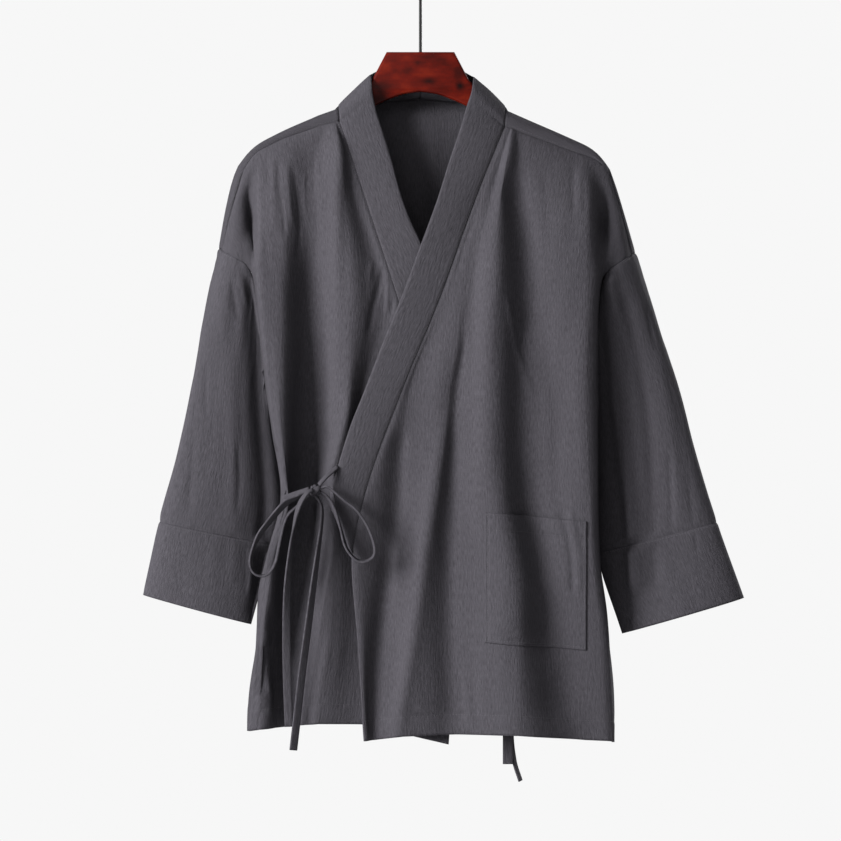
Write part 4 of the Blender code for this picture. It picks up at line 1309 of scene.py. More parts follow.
@dataclass
class BackPanel(Panel):
    """The back, in one piece that wraps over both shoulders to the forward seams.

    Attributes:
        places: The columns of its body, as places among the folds.
        ridge_fade: Rows below the shoulders' ridge in which the creases grow.
    """

    places: Points = field(init=False)
    ridge_fade: float = 10.0

    def __post_init__(self) -> None:
        """Work the panel's surface out, with the strips that come over the shoulders."""
        self.places = fold_places(BACK, BACK_SPACING)
        main = hang(BACK, self.places, row_fractions(), BACK_SETTLE)
        right, left = (side_grid(main[:, column], side.cap_ridge, side.armhole_back,
                                 side_line(side, False), BACK_GROOVE)
                       for column, side in ((0, RIGHT_SIDE), (-1, LEFT_SIDE)))
        body = np.concatenate([right[:, :0:-1], main, left[:, 1:]], axis=1)
        points = np.concatenate([self.strips(body[0]), body])
        cells = np.ones((points.shape[0] - 1, points.shape[1] - 1), dtype=bool)
        first, last = self.neck_columns()
        cells[:STRIP_ROWS, first:last] = False
        self.sheet = Sheet(points, cells=cells, out=(0.0, 1.0, 0.0))
        for turn in (SIDE_COLUMNS, points.shape[1] - 1 - SIDE_COLUMNS):
            soften(self.sheet.points.swapaxes(0, 1), turn, 4, 8)
        for shoulder in (np.s_[:, :first], np.s_[:, last + 1:]):
            soften(self.sheet.points[shoulder], STRIP_ROWS, 3, 6)
        below = (np.arange(points.shape[0])[:, None] - STRIP_ROWS) / self.ridge_fade
        self.crease(ease(self.sheet.near(Edge.START, Edge.END) / SEAM_FADE) * ease(below))
        for edge in SEWN_EDGES:
            self.sheet.refine_edge(edge)
            self.sheet.press_seam(edge)
        self.hem()

    def neck_columns(self) -> tuple[int, int]:
        """Return the columns at the two ends of the neck."""
        first, last = (int(np.argmin(np.abs(self.places - fold))) for fold in NECK_FOLDS)
        return first + SIDE_COLUMNS, last + SIDE_COLUMNS

    def strips(self, ridge: Points) -> Points:
        """Work out the rows in front of the shoulder ridge.

        Args:
            ridge: The ridge's row, from one armhole to the other.

        Returns:
            The rows from the forward seam back to the ridge, without it.
        """
        before, after = NECK_FOLDS
        reach = even(SIDE_COLUMNS)[1:]
        right = np.clip((before - self.places) / before, 0.0, 1.0)
        left = np.clip((self.places - after) / (len(BACK) - 1 - after), 0.0, 1.0)
        low = np.concatenate([
            read_line(RIGHT_SIDE.cap_seam, reach)[::-1],
            np.where((self.places <= CENTRE_FOLD)[:, None],
                     read_line(RIGHT_SIDE.forward_seam, right),
                     read_line(LEFT_SIDE.forward_seam, left)),
            read_line(LEFT_SIDE.cap_seam, reach)])
        middle = (ridge + low) / 2 + np.array([0.0, -0.003, 0.003])
        low = low + unit(middle - low) * SEAM_GAP
        t = np.linspace(1.0, 0.0, STRIP_ROWS + 1)[:-1, None, None]
        return ridge * (1 - t) * (1 - 2 * t) + middle * 4 * t * (1 - t) + low * t * (2 * t - 1)

    def neck_line(self, left: bool) -> tuple[Points, Points]:
        """Return the neck edge from the centre back to a forward seam, and its fold places.

        Args:
            left: True for the wearer's left half.

        Returns:
            The points of the edge, and for each one how far it lies from the centre fold,
            counted in folds; the whole strip counts as one more.
        """
        points = self.sheet.points
        ridge = points.shape[0] - len(row_fractions())
        extra = points.shape[1] - (len(self.places) + 2 * SIDE_COLUMNS)
        away = self.places - CENTRE_FOLD if left else CENTRE_FOLD - self.places
        chosen = np.flatnonzero((away >= 0.0) & (away <= NECK_FOLDS[1] - CENTRE_FOLD))
        chosen = chosen if left else chosen[::-1]
        columns = SIDE_COLUMNS + extra // 2 + chosen
        down = points[:ridge, columns[-1]][::-1]
        steps = away[chosen[-1]] + even(len(down))[1:]
        return (np.concatenate([points[ridge, columns], down]),
                np.concatenate([away[chosen], steps]))

    def stitch_lines(self) -> list[Points]:
        """Return the lines of stitches on the panel.

        Returns:
            The hem's line and the two that follow the forward seams.
        """
        first, last = self.neck_columns()
        trim = 2
        seam = self.sheet.line_inside(Edge.TOP, STITCH_INSIDE)
        return [self.sheet.line_inside(Edge.BOTTOM, HEM, 1), seam[trim:first + trim],
                seam[last + 3 * trim:-trim]]


@dataclass
class Collar:
    """One half of the collar band, sewn to the back's neck and to one front's edge.

    Attributes:
        name: The node that it stands for.
        lines: Its cross lines, each x, y and z of the free edge and, on the front, the
            height of the seam.
        left: True for the wearer's left half.
        seed: Number that fixes the small wrinkles.
        belly: How far its middle stands out.
        soft: Size and height of its small wrinkles.
    """

    name: str
    lines: tuple[Numbers, ...]
    left: bool
    seed: int
    steps: int = 11
    columns: int = 14
    thickness: float = 0.0022
    belly: float = 0.0012
    soft: Point = (0.030, 0.120, 0.0005)
    edge_reach: float = 0.0012
    tuck: float = 0.0004
    topstitch: float = 0.0016
    sheet: Sheet = field(init=False)

    def seam_points(self, back: BackPanel, front: FrontPanel, marks: Points) -> Points:
        """Work out the points of the seam.

        Args:
            back: The back, whose neck the collar is sewn to.
            front: The front whose edge it is sewn to.
            marks: The cross lines, as numbers that may lie between two of them.

        Returns:
            One point for each mark.
        """
        neck, neck_marks = back.neck_line(self.left)
        edge = front.sheet.points[:, 0]
        path = np.concatenate([neck, edge])
        lengths = arc_lengths(path)
        behind = [line for line in self.lines if len(line) == 3]
        stops = [float(np.interp(k / 2, neck_marks, lengths[:len(neck)]))
                 for k in range(len(behind))]
        stops += [float(np.interp(-line[3] / 1000.0, -edge[:, 2], lengths[len(neck):]))
                  for line in self.lines[len(behind):]]
        place = monotone(np.arange(len(self.lines)), stops, marks)
        return np.stack([np.interp(place, lengths, path[:, k]) for k in range(3)], axis=1)

    def shape(self, back: BackPanel, front: FrontPanel) -> None:
        """Work the collar's surface out between its free edge and its seam.

        Args:
            back: The back.
            front: The front.
        """
        count = len(self.lines) - 1
        marks = np.linspace(0.0, count, count * self.steps + 1)
        free = monotone(np.arange(count + 1), mm(*(line[:3] for line in self.lines)), marks)
        seam = self.seam_points(back, front, marks)
        near = seam + unit(free - seam) * SEAM_GAP * 0.4
        share = even(self.columns)
        places = 0.55 * (1.0 - np.cos(share * np.pi)) / 2 + 0.45 * share
        self.sheet = Sheet(free[:, None] + (near - free)[:, None] * places[None, :, None])
        sheet = self.sheet
        far = sheet.near(Edge.START, Edge.END)
        rounded = self.belly * np.sin(np.pi * places)[None] ** 0.8
        soft = Crinkle(*self.soft, self.seed).over(sheet) * ease(far / SEAM_FADE)
        sheet.lift(soft + rounded)
        sheet.thickness = self.thickness * (1.0 - 0.75 * np.exp(-far / self.edge_reach))
        sheet.points[:, -1] -= sheet.normals()[:, -1] * self.tuck

    def build(self, finishes: Finishes) -> Thing:
        """Make the collar half in linen."""
        return sew(self.sheet, self.name, finishes)

    def stitch_lines(self) -> list[Points]:
        """Return the line of stitches beside the seam."""
        return [self.sheet.line_inside(Edge.END, self.topstitch, 1)]


@dataclass
class Sleeve:
    """One sleeve and its deep cuff.

    Attributes:
        side: "left" or "right", as the wearer has it.
        lines: The lines of that side.
        front_creases: Creases of the front half.
        back_creases: Creases of the back half.
        seed: Number that fixes the small wrinkles.
        gap_points: Columns over the top, between the armhole's two halves.
        cuff_seam: The cuff's seam, as a part of the way to the cuff's edge.
        fullness: How full the sleeve is along its outer fold.
        narrowing: How it narrows to its inner seam.
        hollow: Depth and angle of the fall beside the body, and how wide it is.
        front_start: Angle at which the front half of the armhole starts.
        armhole_fade: Part of the way over which the armhole's own shape dies away.
        top_bow: How far the cloth rises over the top, between the armhole's halves.
        pucker: Size and height of the puckers beside the seams.
        cuff_press: Depth and reach of the groove at the cuff's seam.
        topstitch: How far from their seams the sleeve's and the cuff's stitches run.
    """

    side: str
    lines: SideLines
    front_creases: tuple[Crease, ...]
    back_creases: tuple[Crease, ...]
    seed: int
    rows: int = 92
    cuff_rows: int = 32
    gap_points: int = 6
    cuff_seam: float = 0.8
    half_depth: float = 0.021
    fullness: float = 2.4
    narrowing: float = 1.6
    hollow: Point = (0.001, 118.0, 22.0)
    front_start: float = 20.0
    armhole_fade: float = 0.42
    top_bow: float = 0.0015
    join_fade: float = 0.010
    pucker: Point = (0.007, 0.010, 0.0006)
    pucker_reach: float = 0.006
    cuff_drop: float = 0.0004
    cuff_fold: float = 0.0006
    cuff_lift: float = 0.0003
    cuff_press: Pair = (0.0006, 0.0020)
    topstitch: Pair = (0.0022, 0.0018)
    seams: list[Points] = field(default_factory=list)

    def angles(self) -> Points:
        """Work out the angles of a ring's points.

        Returns:
            The angles of the front, the back and over the top.
        """
        places = even(ROWS_TO_UNDERARM)
        front = self.front_start + (180.0 - self.front_start) * places
        behind = 360.0 - 180.0 * places[::-1][1:]
        over = 360.0 + self.front_start * np.linspace(0.0, 1.0, self.gap_points + 2)[1:]
        return np.radians(np.concatenate([front, behind, over]))

    def armhole(self) -> Points:
        """Return the ring of the armhole.

        Returns:
            One point for each of the ring's angles, just inside the body's armhole.
        """
        places = even(ROWS_TO_UNDERARM)
        front = read_line(self.lines.armhole_front, places)
        back = read_line(self.lines.armhole_back, places)[::-1]
        bridge = np.linspace(0.0, 1.0, self.gap_points + 2)[1:, None]
        over = back[-1] + (front[0] - back[-1]) * bridge
        over[:, 2] += self.top_bow * np.sin(np.pi * bridge[:, 0])
        away = math.copysign(SEAM_GAP, self.lines.sleeve_fold[0][0])
        return np.concatenate([front, back[1:], over]) + np.array([away, 0.0, -SEAM_GAP])

    def ring(self, fraction: float) -> Points:
        """Work out one closed ring of the sleeve.

        Args:
            fraction: Its place, as a part of the way to the cuff's edge.

        Returns:
            The ring's points.
        """
        angles = self.angles()
        outer, inner = (read_line(line, fraction)[0]
                        for line in (self.lines.sleeve_fold, self.lines.sleeve_seam))
        fade = max(0.0, 1.0 - fraction / self.armhole_fade) ** 2
        start = self.oval(self.lines.sleeve_fold[0], self.lines.sleeve_seam[0], angles)
        points = self.oval(outer, inner, angles)
        depth, angle, width = self.hollow
        points[:, 1] += depth * (1 - fade) * np.exp(-((np.degrees(angles) - angle) / width) ** 2)
        return points + (self.armhole() - start) * fade

    def oval(self, outer: Points, inner: Points, angles: Points) -> Points:
        """Return points round a flat sleeve, full outside and narrower at its inner seam.

        Args:
            outer: The point on its outer fold.
            inner: The point on its inner seam.
            angles: The angles of the points.

        Returns:
            One point for each angle.
        """
        along = np.cos(angles)
        points = (outer + inner) / 2 + (outer - inner) / 2 * along[:, None]
        full = (1 - np.abs(along) ** self.fullness) ** (1 / self.fullness)
        narrow = np.abs(np.sin(angles)) ** self.narrowing
        points[:, 1] -= self.half_depth * np.where(along > 0, full, narrow) * np.sign(np.sin(angles))
        return points

    def tube(self, start: float, end: float, rows: int) -> Sheet:
        """Make the sheet of a stretch of the sleeve, all round, between two places down it."""
        places = np.linspace(start, end, rows + 1)
        return Sheet(np.array([self.ring(place) for place in places]), closed=True)

    def crease(self, sheet: Sheet, small: float) -> None:
        """Put the creases of each half and small wrinkles in.

        Args:
            sheet: The sleeve or the cuff.
            small: How strong the small wrinkles are.
        """
        facing = sheet.normals()[..., 1]
        front = crease_height(self.front_creases, sheet.points)
        behind = crease_height(self.back_creases, sheet.points)
        height = front * ease(-facing * 1.6 + 0.1) + behind * ease(facing * 1.6 + 0.1)
        around = sheet.uv[..., 0] - sheet.uv[:1, :1, 0]
        join = ease(np.minimum(around, sheet.uv[0, -1, 0] - around) / self.join_fade)
        ends = ease(sheet.near(Edge.TOP, Edge.BOTTOM) / SEAM_FADE)
        sheet.lift((height + wrinkles(sheet, self.seed) * join * small) * ends)

    def build(self, finishes: Finishes) -> tuple[Thing, Thing]:
        """Make the sleeve and the cuff, and keep their lines of stitches.

        Args:
            finishes: The materials.

        Returns:
            The sleeve and the cuff.
        """
        sleeve = self.tube(0.0, self.cuff_seam, self.rows)
        self.crease(sleeve, 1.0)
        sleeve.refine_edge(Edge.TOP)
        sleeve.refine_edge(Edge.BOTTOM)
        pucker = Crinkle(*self.pucker, self.seed + 9)
        for edge in (Edge.TOP, Edge.BOTTOM):
            sleeve.press_seam(edge)
            beside = np.exp(-(sleeve.distance_from(edge) / self.pucker_reach) ** 2)
            sleeve.lift(beside * pucker.over(sleeve) * 0.6)
        cuff = self.tube(self.cuff_seam, 1.0, self.cuff_rows)
        cuff.points[..., 2] -= self.cuff_drop
        self.crease(cuff, 0.6)
        cuff.refine_edge(Edge.TOP)
        cuff.thickness += self.cuff_fold
        cuff.lift(np.full(cuff.points.shape[:2], self.cuff_lift))
        cuff.press_seam(Edge.TOP, *self.cuff_press)
        self.seams = [sheet.line_inside(Edge.TOP, inside)
                      for sheet, inside in zip((sleeve, cuff), self.topstitch)]
        for sheet, edges in ((sleeve, (Edge.TOP, Edge.BOTTOM)), (cuff, (Edge.TOP,))):
            for edge in edges:
                sheet.turn_in(edge)
        return (sew(sleeve, "sleeve_" + self.side, finishes),
                sew(cuff, "cuff_" + self.side, finishes))


@dataclass
class PatchPocket:
    """The patch pocket on the left front, laid on the panel's own surface.

    Attributes:
        front: The front that it is sewn to.
        hem: Depth of its top hem.
        topstitch: How far inside its sides the stitches run.
        clearance: How far it lies in front of the panel.
        slack: How far its middle stands out, and how far that lies from its edges.
    """

    front: FrontPanel
    columns: int = 44
    rows: int = 54
    hem: float = 0.020
    topstitch: float = 0.0038
    clearance: float = 0.0009
    slack: Pair = (0.0016, 0.030)
    soft: Point = (0.024, 0.050, 0.0007)
    soft_fade: float = 0.015
    sheet: Sheet = field(init=False)

    def lay(self) -> Points:
        """Look for the panel's surface at each place of the pocket.

        Returns:
            The grid of points, just in front of the panel.
        """
        panel = self.front.sheet
        flat = (panel.points + panel.normals() * (panel.thickness / 2)[..., None]).reshape(-1, 3)
        tree = BVHTree.FromPolygons([Vector(p) for p in flat], panel.quads()[0].tolist())
        grid = np.zeros((self.rows + 1, self.columns + 1, 3))
        for r, t in enumerate(self.places(self.rows)):
            for c, s in enumerate(self.places(self.columns)):
                top, bottom = (a + (b - a) * s for a, b in (POCKET_TOP, POCKET_BOTTOM))
                x, z = (1 - t) * top + t * bottom
                place, *_ = tree.ray_cast(Vector((x, -0.3, z)), Vector((0.0, 1.0, 0.0)))
                grid[r, c] = np.array(place) - np.array([0.0, self.clearance, 0.0])
        return grid

    def shape(self) -> None:
        """Work the pocket's surface out: slack cloth, sewn down along three sides."""
        self.sheet = Sheet(self.lay())
        sheet = self.sheet
        near = sheet.near(Edge.START, Edge.END, Edge.BOTTOM)
        soft = Crinkle(*self.soft, 77).over(sheet) * ease(near / self.soft_fade)
        sheet.lift(self.slack[0] * ease(near / self.slack[1]) + soft)
        sheet.thickness = (0.0010 + 0.0006 * ease((0.006 - near) / 0.004)
                           - 0.0007 * np.exp(-near / 0.0008))
        sheet.lift(-0.0004 * np.exp(-((near - self.topstitch) / 0.0014) ** 2))
        groove = (sheet.distance_from(Edge.START) - 0.0030) / 0.0014
        sheet.lift(-0.0008 * np.exp(-groove ** 2))
        sheet.press_hem(Edge.TOP, self.hem, 0.0006, 5)

    @staticmethod
    def places(count: int) -> Points:
        """Return places from 0 to 1 that lie closer together near both ends."""
        share = even(count)
        return 0.5 * share + 0.5 * (1 - np.cos(np.pi * share)) / 2

    def build(self, finishes: Finishes) -> Thing:
        """Lay the pocket on the panel and make it in linen."""
        self.shape()
        return sew(self.sheet, "pocket", finishes)

    def stitch_lines(self) -> list[Points]:
        """Return the lines of stitches on the pocket."""
        sides = [self.sheet.line_inside(edge, self.topstitch, 1)
                 for edge in (Edge.START, Edge.END, Edge.BOTTOM)]
        return [*sides, self.sheet.line_inside(Edge.TOP, self.hem, 1)]


@dataclass
class Tie:
    """One stretch of a sewn tie.

    Attributes:
        name: The node that it stands for.
        width: Its width.
        route: Its points, as (x, y, z, turn); turn is 0 where the flat side faces the front.
        into_knot: Which of its ends go into the knot: first, last or both.
        narrow: Which other ends are sewn down folded.
        rests_on: The piece it rests on where it has no knot; not used.
        step: Length of one row.
        squeeze: How narrow it is at the knot, as a part of its width.
        sunk: How far its ends go into the knot.
    """

    name: str
    width: float
    route: tuple[Numbers, ...]
    into_knot: tuple[int, ...] = ()
    narrow: tuple[int, ...] = ()
    rests_on: str = "front_right"
    step: float = 0.0030
    columns: int = 6
    squeeze: float = 0.62
    gather: float = 0.032
    sunk: float = 0.0022
    thickness: float = 0.0027
    edge_loss: float = 0.0009
    edge_reach: float = 0.0005

    def line(self) -> Points:
        """Return the route at even steps.

        Returns:
            The points, with the turn as the fourth value.
        """
        route = np.array(self.route) / (1000.0, 1000.0, 1000.0, 1.0)
        for end in self.into_knot:
            route[end, :3] += unit(np.array(KNOT_CENTRE) - route[end, :3]) * self.sunk
        coarse = curve_through(route, 24)
        lengths = arc_lengths(coarse[:, :3])
        count = max(8, round(lengths[-1] / self.step))
        places = np.linspace(0.0, lengths[-1], count + 1)
        return np.stack([np.interp(places, lengths, coarse[:, k]) for k in range(4)], axis=1)

    def share(self, lengths: Points) -> Points:
        """Work out how wide the tie lies along its line.

        Args:
            lengths: How far along the line each place lies.

        Returns:
            The part of its width at each place, narrower where it goes into the knot.
        """
        share = np.ones(len(lengths))
        for end in (*self.into_knot, *self.narrow):
            share -= (1 - self.squeeze) * (1 - ease(np.abs(lengths - lengths[end]) / self.gather))
        return share

    def build(self, finishes: Finishes) -> Thing:
        """Args:
            finishes: The materials.

        Returns:
            The piece.
        """
        line = self.line()
        lengths = arc_lengths(line[:, :3])
        ahead = np.gradient(line[:, :3], axis=0)
        flat = unit(np.stack([-ahead[:, 2], np.zeros(len(line)), ahead[:, 0]], axis=1))
        turn = np.radians(line[:, 3])
        across = flat * np.cos(turn)[:, None]
        across[:, 1] = np.sin(turn)
        places = np.sin(np.linspace(-0.5, 0.5, self.columns + 1) * np.pi) / 2
        width = (self.width * self.share(lengths))[:, None, None]
        sheet = Sheet(line[:, None, :3] + across[:, None] * places[None, :, None] * width)
        far = (0.5 - np.abs(places)) * self.width
        thickness = self.thickness - self.edge_loss * np.exp(-far / self.edge_reach)
        sheet.thickness = np.tile(thickness, (len(line), 1))
        obj = sew(sheet, self.name, finishes, "tape")
        return obj


def curve_through(points: Points, steps: int) -> Points:
    """Return a smooth curve through points.

    Args:
        points: The points.
        steps: How many steps lie between each two.

    Returns:
        The curve's points.
    """
    padded = np.concatenate([2 * points[:1] - points[1:2], points, 2 * points[-1:] - points[-2:-1]])
    pieces = []
    t = np.linspace(0.0, 1.0, steps, endpoint=False)[:, None]
    for a, b, c, d in zip(padded, padded[1:], padded[2:], padded[3:]):
        pieces.append(0.5 * (2 * b + (c - a) * t + (2 * a - 5 * b + 4 * c - d) * t ** 2
                             + (3 * b - a - 3 * c + d) * t ** 3))
    return np.concatenate([*pieces, points[-1:]])


# Each tie's name, width, route with its turn in degrees, ends in the knot and folded ends
TIES = (
    Tie("tie_side", TIE_WIDTH, (
        (-165, -47.2, -652, 18), (-156.5, -49.2, -649, 20), (-145, -52.5, -643.8, 30),
        (-135, -54.5, -638.5, 46)), (-1,)),
    Tie("tie_overlap", TIE_WIDTH, (
        (-99.2, -51, -612.2, -48), (-102.5, -53.2, -615, -50), (-107, -56.5, -619.2, -52),
        (-113, -60, -624.5, -52), (-120.5, -63.2, -632.2, -50)), (-1,), (0,)),
    Tie("bow_loop_side", TIE_WIDTH, (
        (-134.9, -62.2, -640.7, 82), (-147.2, -64, -648.5, 64), (-159.7, -64, -654.5, 48),
        (-170.5, -63.5, -665.3, 50), (-184.2, -62, -682, 55), (-193.9, -60.5, -695.2, 65),
        (-201.6, -59, -714.3, 78), (-204, -58, -727.5, 84), (-200.4, -57.5, -738.3, 84),
        (-192, -57.5, -743, 84), (-182.5, -57.5, -740.6, 84), (-174.1, -58, -727.5, 80),
        (-169.3, -58.5, -706, 78), (-164.5, -59, -684, 78), (-159, -59.5, -670, 78),
        (-150, -60, -661.5, 82), (-134.9, -60.2, -646.8, 84)), (0, -1)),
    Tie("bow_loop_front", TIE_WIDTH, (
        (-117.6, -62, -637.6, 98), (-111.9, -63, -636.2, 98), (-101.7, -64, -643.7, 98),
        (-90.7, -64, -653.3, 98), (-74.8, -64, -666.5, 98), (-62.8, -63.5, -685.6, 98),
        (-55.6, -63, -706, 98), (-55.6, -62.5, -717.9, 98), (-62.8, -62.5, -724.5, 98),
        (-72.4, -62, -725.5, 98), (-82, -61.5, -719.1, 98), (-90.3, -61, -706, 100),
        (-96.3, -60.5, -685, 88), (-103.5, -60.5, -664.1, 66), (-111, -60.5, -650, 60),
        (-117.2, -60.5, -643.5, 70)), (0, -1)),
    Tie("tie_tail_side", TIE_WIDTH, (
        (-129, -68.5, -639.5, 120), (-134.5, -71.2, -643, 124), (-141.5, -72.5, -652, 124),
        (-147, -72.5, -665, 114), (-151.2, -70, -682, 98), (-155.5, -62.5, -710, 74),
        (-159.8, -53.5, -760, 42), (-160.8, -45, -820, 15), (-160.3, -40, -868, 5),
        (-158.3, -38.2, -925, 0)), (0,)),
    Tie("tie_tail_front", TIE_WIDTH, (
        (-126, -60, -648.8, 85), (-119.6, -59, -656, 80), (-117.8, -58, -666, 78),
        (-119, -56.5, -685, 75), (-122.6, -55, -711.9, 65), (-129, -51.5, -759.8, 48),
        (-135.2, -47, -807.6, 38), (-142.4, -43, -861.5, 30), (-148.5, -40.5, -915.8, 28),
        (-152.8, -40, -953.1, 28)), (0,)),
    Tie("inner_tie_under", INNER_TIE_WIDTH, (
        (77, -24.3, -617, 0), (85, -23.5, -630, 0), (96, -19, -650, 0), (103.5, -16, -678, 0),
        (105, -15, -750, 0), (105.2, -14, -850, 0), (105.5, -13, -900, 0), (105.5, -12, -972, 0))),
    Tie("inner_tie_side", TIE_WIDTH, (
        (208, -12.5, -650, 0), (190, -11, -662, 0), (150, -10.5, -672, 0), (123, -11, -676, 10),
        (112, -9, -700, 20), (108, -6, -800, 35), (108.5, -5, -920, 50), (113, -5, -966, 65),
        (121, -5, -993, 68)), rests_on="front_left"),
)


@dataclass
class BowKnot:
    """The small knot of the bow: a pulled lump of tape with one turn wrapped round it."""

    centre: Point = KNOT_CENTRE
    radii: Point = (0.0074, 0.0070, 0.0074)
    squareness: float = 0.78
    tilt: float = 128.0
    cloth: float = 0.0008
    rows: int = 40
    columns: int = 64

    def build(self, finishes: Finishes) -> Thing:
        """Make the knot.

        Args:
            finishes: The materials.

        Returns:
            The piece.
        """
        theta = np.linspace(0.02, math.pi - 0.02, self.rows + 1)[:, None]
        phi = np.linspace(0.0, 2 * math.pi, self.columns + 1)[None, :]
        ball = np.stack([np.sin(theta) * np.cos(phi), np.sin(theta) * np.sin(phi),
                         np.cos(theta) + 0.0 * phi], axis=-1)
        fuller = np.sign(ball) * np.abs(ball) ** self.squareness
        tilt = math.radians(self.tilt)
        along = ball[..., 0] * math.cos(tilt) + ball[..., 2] * math.sin(tilt)
        across = ball[..., 2] * math.cos(tilt) - ball[..., 0] * math.sin(tilt)
        wrap = np.exp(-(along / 0.42) ** 4)
        edges = np.exp(-((np.abs(along) - 0.50) / 0.10) ** 2)
        strands = 0.06 * np.sin(9.0 * across)
        size = 0.84 + 0.17 * wrap - 0.14 * edges + strands * (1 - wrap)
        points = np.array(self.centre) + fuller * np.array(self.radii) * size[..., None]
        sheet = Sheet(points, closed=True)
        sheet.thickness[:] = self.cloth
        return sew(sheet, "bow_knot", finishes, "tape")


@dataclass
class Hanger:
    """The wooden board under the shoulders, each edge as (x, z), and its wire hook."""

    thickness: float = 0.010
    edge: float = 0.0035
    crown: tuple[Numbers, ...] = ((41, -111), (58.5, -144.5))
    upper: tuple[Numbers, ...] = ((58.5, -144.5), (85, -171.5), (104, -184.8), (127, -195.2),
                                  (162, -210.7), (190, -224), (202, -233.5))
    tip: tuple[Numbers, ...] = ((205, -239), (202, -246))
    lower: tuple[Numbers, ...] = ((195, -249), (150, -237), (100, -206), (56, -176.5),
                                  (36, -167.5), (18, -161.5), (0, -159))
    wire: float = 0.0038
    hook_inside: float = 0.020
    hook_root: float = -0.0475
    bend_from: float = 205.0
    bend_to: float = -25.0
    steps: int = 60

    def outline(self) -> Points:
        """Work out the outline of the board.

        Returns:
            Its points, as (x, z).
        """
        places = even(self.steps)
        right = np.concatenate([mm(*self.crown), read_line(mm(*self.upper), places)[1:],
                                mm(*self.tip), read_line(mm(*self.lower), places)])
        return np.concatenate([right, right[-2::-1] * (-1.0, 1.0)])

    def board(self, finishes: Finishes) -> Thing:
        """Make the board from its flat outline, with well rounded edges.

        Args:
            finishes: The materials.

        Returns:
            The piece.
        """
        curve = bpy.data.curves.new("board", "CURVE")
        curve.dimensions = "2D"
        curve.fill_mode = "BOTH"
        curve.extrude = self.thickness / 2 - self.edge
        curve.bevel_depth = self.edge
        curve.bevel_resolution = 5
        curve.offset = -self.edge
        outline = self.outline()
        spline = curve.splines.new("POLY")
        spline.points.add(len(outline) - 1)
        for point, (x, z) in zip(spline.points, outline):
            point.co = (x, z, 0.0, 1.0)
        spline.use_cyclic_u = True
        mesh = plain_mesh(link(bpy.data.objects.new("board_outline", curve)), "hanger_board")
        work = bmesh.new()
        work.from_mesh(mesh)
        bmesh.ops.remove_doubles(work, verts=work.verts, dist=0.00002)
        for vertex in work.verts:
            x, y, z = vertex.co
            vertex.co = (x, -z, y)
        bmesh.ops.recalc_face_normals(work, faces=work.faces)
        work.to_mesh(mesh)
        work.free()
        mesh.shade_smooth()
        mesh.set_sharp_from_angle(angle=math.radians(40.0))
        mesh.materials.clear()
        mesh.materials.append(finishes.wood)
        return link(bpy.data.objects.new("hanger_board", mesh))

    def hook_route(self) -> Points:
        """Work out the middle line of the hook.

        Returns:
            The points of a shank, a swing aside and a round bend.
        """
        bend = self.hook_inside + self.wire / 2
        root = self.crown[0][1] / 1000.0 - 0.004
        shank = np.stack([np.zeros(8), np.zeros(8), np.linspace(root, self.hook_root, 8)], axis=1)
        angles = np.linspace(math.radians(self.bend_from), math.radians(self.bend_to), 49)
        arc = np.stack([bend * np.cos(angles), np.zeros(49),
                        bend * np.sin(angles) - self.hook_inside], axis=1)
        swing = read_line((shank[-1], *mm((-3.5, 0, -43.5), (-13.5, 0, -37)), arc[0]),
                          np.linspace(0.0, 1.0, 13))
        return np.concatenate([shank, swing[1:], arc[1:]])

    def build(self, finishes: Finishes) -> None:
        """Make the board and the hook, and let them stand for their nodes.

        Args:
            finishes: The materials.
        """
        dress(self.board(finishes), "hanger_wood")
        path = path_object("hook_path", [self.hook_route()])
        values = {"Radius": self.wire / 2, "Material": finishes.wire}
        dress(run_nodes(path, WireNodes().tree(), values, "hanger_wire"), "hanger_hook")


def plain_mesh(holder: Thing, name: str) -> bpy.types.Mesh:
    """Take an object's finished mesh and remove the object.

    Args:
        holder: The object.
        name: The mesh's new name.

    Returns:
        The mesh.
    """
    graph = bpy.context.evaluated_depsgraph_get()
    mesh = bpy.data.meshes.new_from_object(holder.evaluated_get(graph), depsgraph=graph)
    mesh.name = name
    bpy.data.objects.remove(holder, do_unlink=True)
    return mesh


def path_object(name: str, lines: list[Points]) -> Thing:
    """Make an object whose mesh is a set of open lines.

    Args:
        name: The new object's name.
        lines: The points of each line.

    Returns:
        The new object, linked to the scene.
    """
    vertices: list = []
    edges: list = []
    for line in lines:
        start = len(vertices)
        vertices += line.tolist()
        edges += [(start + k, start + k + 1) for k in range(len(line) - 1)]
    mesh = bpy.data.meshes.new(name)
    mesh.from_pydata(vertices, edges, [])
    return link(bpy.data.objects.new(name, mesh))


def run_nodes(holder: Thing, tree: bpy.types.NodeTree, values: dict[str, object],
              name: str) -> Thing:
    """Run a geometry tree on an object and keep the plain result.

    Args:
        holder: The object that the tree works on; it is removed.
        tree: The geometry tree.
        values: The tree's inputs by name.
        name: The new object's name.

    Returns:
        The finished object.
    """
    modifier = holder.modifiers.new("nodes", "NODES")
    modifier.node_group = tree
    for item in tree.interface.items_tree:
        if item.item_type == "SOCKET" and item.in_out == "INPUT" and item.name in values:
            modifier[item.identifier] = values[item.name]
    bpy.context.view_layer.update()
    return link(bpy.data.objects.new(name, plain_mesh(holder, name)))


